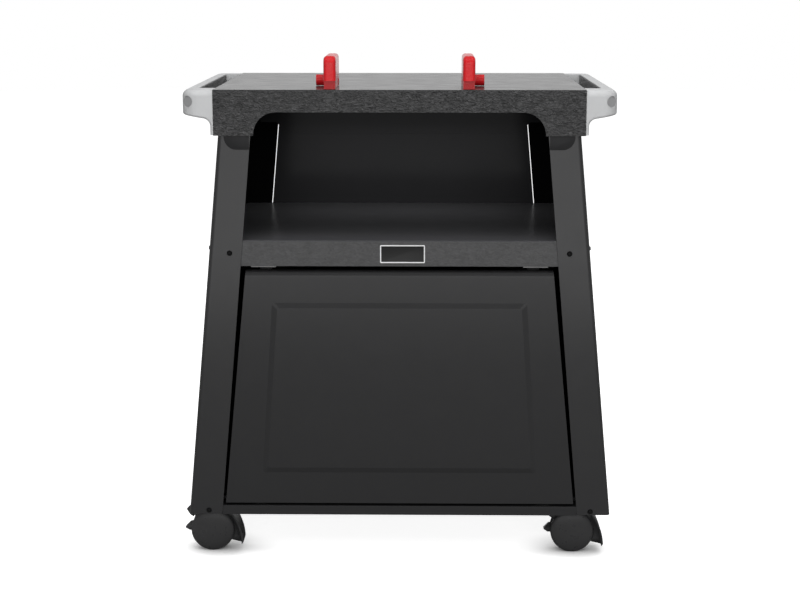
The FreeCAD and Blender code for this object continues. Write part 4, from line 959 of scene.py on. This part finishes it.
class CART_OT_pedals(bpy.types.Operator):
    """Give each brake pedal its two wedge-shaped lobes"""

    bl_idname = "cart.pedals"
    bl_label = "Brake pedals"

    def execute(self, context):
        sizes = context.scene.cart_pedals
        for node in ("front_left_brake_pedal", "front_right_brake_pedal"):
            corner = Vector(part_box(node)[0])
            back, head = high(node, 1), high(node, 2)
            root = corner.x + sizes.root
            arms = merged_copy(node, node + "_arms")
            activate(arms)
            bpy.ops.object.mode_set(mode="EDIT")
            bpy.ops.mesh.select_all(action="SELECT")
            bpy.ops.mesh.bisect(plane_co=point_from(corner, sizes.arms, 0), plane_no=(-1, 0, 0),
                                use_fill=True, clear_outer=True)
            leave_edit()

            ridge = point_from(corner, 0, sizes.lower_ridge)
            cuts = [(ridge, slope) for slope in LOWER_FRONT_SLOPES]
            cuts.append((ridge, LOWER_OUTER_SLOPES[0]))
            cuts.append((corner + Vector(sizes.brow), LOWER_BROW_SLOPE))
            cuts.append((ridge, LOWER_OUTER_SLOPES[1]))
            lower = cut_block("lower_lobe", corner, (root, back, corner.z + sizes.lower_head), cuts)

            ridge = point_from(corner, 0, sizes.front_ridge)
            cuts = [(ridge, slope) for slope in UPPER_FRONT_SLOPES]
            ridge = point_from(corner, sizes.upper_inset, sizes.upper_ridge)
            cuts += [(ridge, slope) for slope in UPPER_OUTER_SLOPES]
            foot = point_from(corner, sizes.upper_inset, sizes.upper_foot)
            upper = cut_block("upper_lobe", foot, (root, back, head), cuts)
            pedal = joined([arms, lower, upper], node + "_shaped")
            activate(pedal)
            bpy.ops.object.shade_smooth_by_angle(angle=CRISP)
            paint(pedal, "caster")
            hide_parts(node)
            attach(pedal, node.replace("_brake_pedal", "_brake"))
        return {"FINISHED"}


# Stage

# Each lamp's name, place, target, size and power in watts

LAMPS = (
    ("key_lamp", (-0.3, -1.3, 2.9), (0, 0, 0.5), (2.6, 1.4), 30),
    ("fill_lamp", (1.7, -0.8, 2.6), (0, 0, 0.6), (1.6, 1.6), 12),
    ("front_lamp", (0.1, -3.4, 1.0), (0, 0, 0.6), (2.6, 0.6), 36),
    ("near_lamp", (0.0, -1.7, 1.22), (0, 0, 0.5), (2.2, 0.4), 6),
    ("bay_lamp", (0.0, 0.12, 0.71), (0, 0.12, 0.5), (0.42, 0.14), 0.18),
    ("rear_lamp", (0.3, 2.2, 2.6), (0, 0, 0.45), (2.6, 1.6), 22),
    ("top_lamp", (0, 0, 3.2), (0, 0, 0), (3.0, 3.0), 20),
)


def new_lamp(name, place, target, size, power):
    """A soft lamp that lights the cart, and neither the camera nor the cart's gloss shows it."""
    deselect()
    bpy.ops.object.light_add(type="AREA", location=place)
    lamp = bpy.context.object
    lamp.name = name
    lamp.rotation_euler = (Vector(target) - Vector(place)).to_track_quat("-Z", "Y").to_euler()
    lamp.data.shape = "RECTANGLE"
    lamp.data.size, lamp.data.size_y = size
    lamp.data.energy = power
    lamp.visible_glossy = False
    lamp.visible_camera = False


# Where the sweep and the floor change from white to their darkest in a reflection

SWEEP_RISE = (0.02, 0.45)
SWEEP_ASIDE = (0.30, 0.75)
FLOOR_ASIDE = (0.9, 2.0)


def make_world(settings):
    """A white sweep: white all round for the camera, and for mirrored rays greyer above and beside it."""
    world = bpy.data.worlds.new("Studio")
    bpy.context.scene.world = world
    sky = Shader(world)
    way = sky.add("SeparateXYZ")
    sky.link(sky.add("TexCoord").outputs["Generated"], way.inputs["Vector"])
    overhead = sky.spread(way.outputs["Z"], 1.0, settings.overhead, *SWEEP_RISE)
    beside = sky.spread(sky.math("ABSOLUTE", way.outputs["X"], 0), 1.0, settings.beside, *SWEEP_ASIDE)
    sweep = sky.math("MULTIPLY", overhead, beside)
    path = sky.add("LightPath")
    bounced = sky.math("MAXIMUM", path.outputs["Is Glossy Ray"], path.outputs["Is Transmission Ray"])
    mirrored = sky.math("MULTIPLY", bounced, sweep)
    seen = sky.math("MAXIMUM", path.outputs["Is Camera Ray"], mirrored)
    strength = sky.math("MAXIMUM", seen, settings.ambient)
    sky.link(strength, sky.nodes["Background"].inputs["Strength"])
    sky.nodes["Background"].inputs["Color"].default_value = (1, 1, 1, 1)


def make_floor(settings):
    """A pale floor, plain white in the distance, that keeps the cart's shadow near it."""
    deselect()
    bpy.ops.mesh.primitive_circle_add(vertices=64, radius=settings.floor_reach, fill_type="NGON")
    floor = bpy.context.object
    floor.name = "studio_floor"
    shader = new_shader("Studio floor")
    shader.set(Roughness=0.9, Specular_IOR_Level=0.0, Emission_Color=(1, 1, 1, 1))
    where = shader.add("TexCoord")
    distance = shader.add("VectorMath", operation="LENGTH")
    shader.link(where.outputs["Object"], distance.inputs[0])
    away = distance.outputs["Value"]
    path = shader.add("LightPath")
    seen = shader.spread(away, settings.floor_glow, 1.0, settings.near_floor, settings.far_floor)
    mirrored = shader.spread(away, 0.0, 1.0, settings.near_mirror, settings.far_mirror)
    across = shader.add("SeparateXYZ")
    shader.link(where.outputs["Object"], across.inputs["Vector"])
    aside = shader.math("ABSOLUTE", across.outputs["X"], 0)
    mirrored = shader.math("MULTIPLY", mirrored, shader.spread(aside, 1.0, settings.beside, *FLOOR_ASIDE))
    near = shader.add("AmbientOcclusion", samples=8)
    near.inputs["Distance"].default_value = settings.contact
    contact_depth = 2.0
    seen = shader.math("MULTIPLY", seen, shader.math("POWER", near.outputs["AO"], contact_depth))
    camera = shader.math("MULTIPLY", path.outputs["Is Camera Ray"], seen)
    bounced = shader.math("MAXIMUM", path.outputs["Is Glossy Ray"], path.outputs["Is Transmission Ray"])
    glossy = shader.math("MULTIPLY", bounced, mirrored)
    shader.link(shader.math("MAXIMUM", camera, glossy), shader.surface.inputs["Emission Strength"])
    pale = shader.add("Mix", data_type="RGBA")
    pale.inputs["A"].default_value = [settings.floor_bounce] * 3 + [1]
    pale.inputs["B"].default_value = [settings.floor_pale] * 3 + [1]
    shader.link(path.outputs["Is Camera Ray"], pale.inputs["Factor"])
    shader.link(pale.outputs["Result"], shader.surface.inputs["Base Color"])
    floor.data.materials.append(shader.owner)


def make_camera(settings):
    deselect()
    bpy.ops.object.camera_add(location=settings.place,
                              rotation=(math.radians(90) - settings.pitch, 0, settings.yaw))
    camera = bpy.context.object
    camera.name = "photo_camera"
    camera.data.sensor_width = settings.sensor
    camera.data.lens = settings.lens
    bpy.context.scene.camera = camera


class CART_OT_stage(bpy.types.Operator):
    """Add the white world, the floor, the lamps and the camera"""

    bl_idname = "cart.stage"
    bl_label = "Stage"

    def execute(self, context):
        settings = context.scene.cart_stage
        make_world(settings)
        make_floor(settings)
        for lamp in LAMPS:
            new_lamp(*lamp)
        make_camera(settings)
        context.scene.view_settings.view_transform = "Standard"
        return {"FINISHED"}


class CART_PT_panel(bpy.types.Panel):
    """The cart's settings and steps"""

    bl_label = "Grill Cart"
    bl_idname = "CART_PT_panel"
    bl_space_type = "VIEW_3D"
    bl_region_type = "UI"
    bl_category = "Grill Cart"

    def draw(self, context):
        for operator in STEPS:
            self.layout.operator(operator.bl_idname)


STEPS = (CART_OT_finishes, CART_OT_inner_faces, CART_OT_plate, CART_OT_tabs, CART_OT_catches, CART_OT_screws,
         CART_OT_wheels, CART_OT_hoods, CART_OT_pedals, CART_OT_stage)
GROUPS = {"cart_finishes": CartFinishes, "cart_plate": CartPlate, "cart_tabs": CartTabs,
          "cart_catches": CartCatches, "cart_screws": CartScrews, "cart_casters": CartCasters,
          "cart_pedals": CartPedals, "cart_stage": CartStage}


def register():
    for group in GROUPS.values():
        bpy.utils.register_class(group)
    for operator in STEPS:
        bpy.utils.register_class(operator)
    bpy.utils.register_class(CART_PT_panel)
    for name, group in GROUPS.items():
        setattr(bpy.types.Scene, name, PointerProperty(type=group))


def unregister():
    for name in GROUPS:
        delattr(bpy.types.Scene, name)
    bpy.utils.unregister_class(CART_PT_panel)
    for operator in reversed(STEPS):
        bpy.utils.unregister_class(operator)
    for group in reversed(list(GROUPS.values())):
        bpy.utils.unregister_class(group)


def main():
    register()
    bpy.ops.cart.finishes()
    bpy.ops.cart.inner_faces()
    bpy.ops.cart.plate()
    bpy.ops.cart.tabs()
    bpy.ops.cart.catches()
    bpy.ops.cart.screws()
    bpy.ops.cart.wheels()
    bpy.ops.cart.hoods()
    bpy.ops.cart.pedals()
    bpy.ops.cart.stage()


if __name__ == "__main__":
    main()
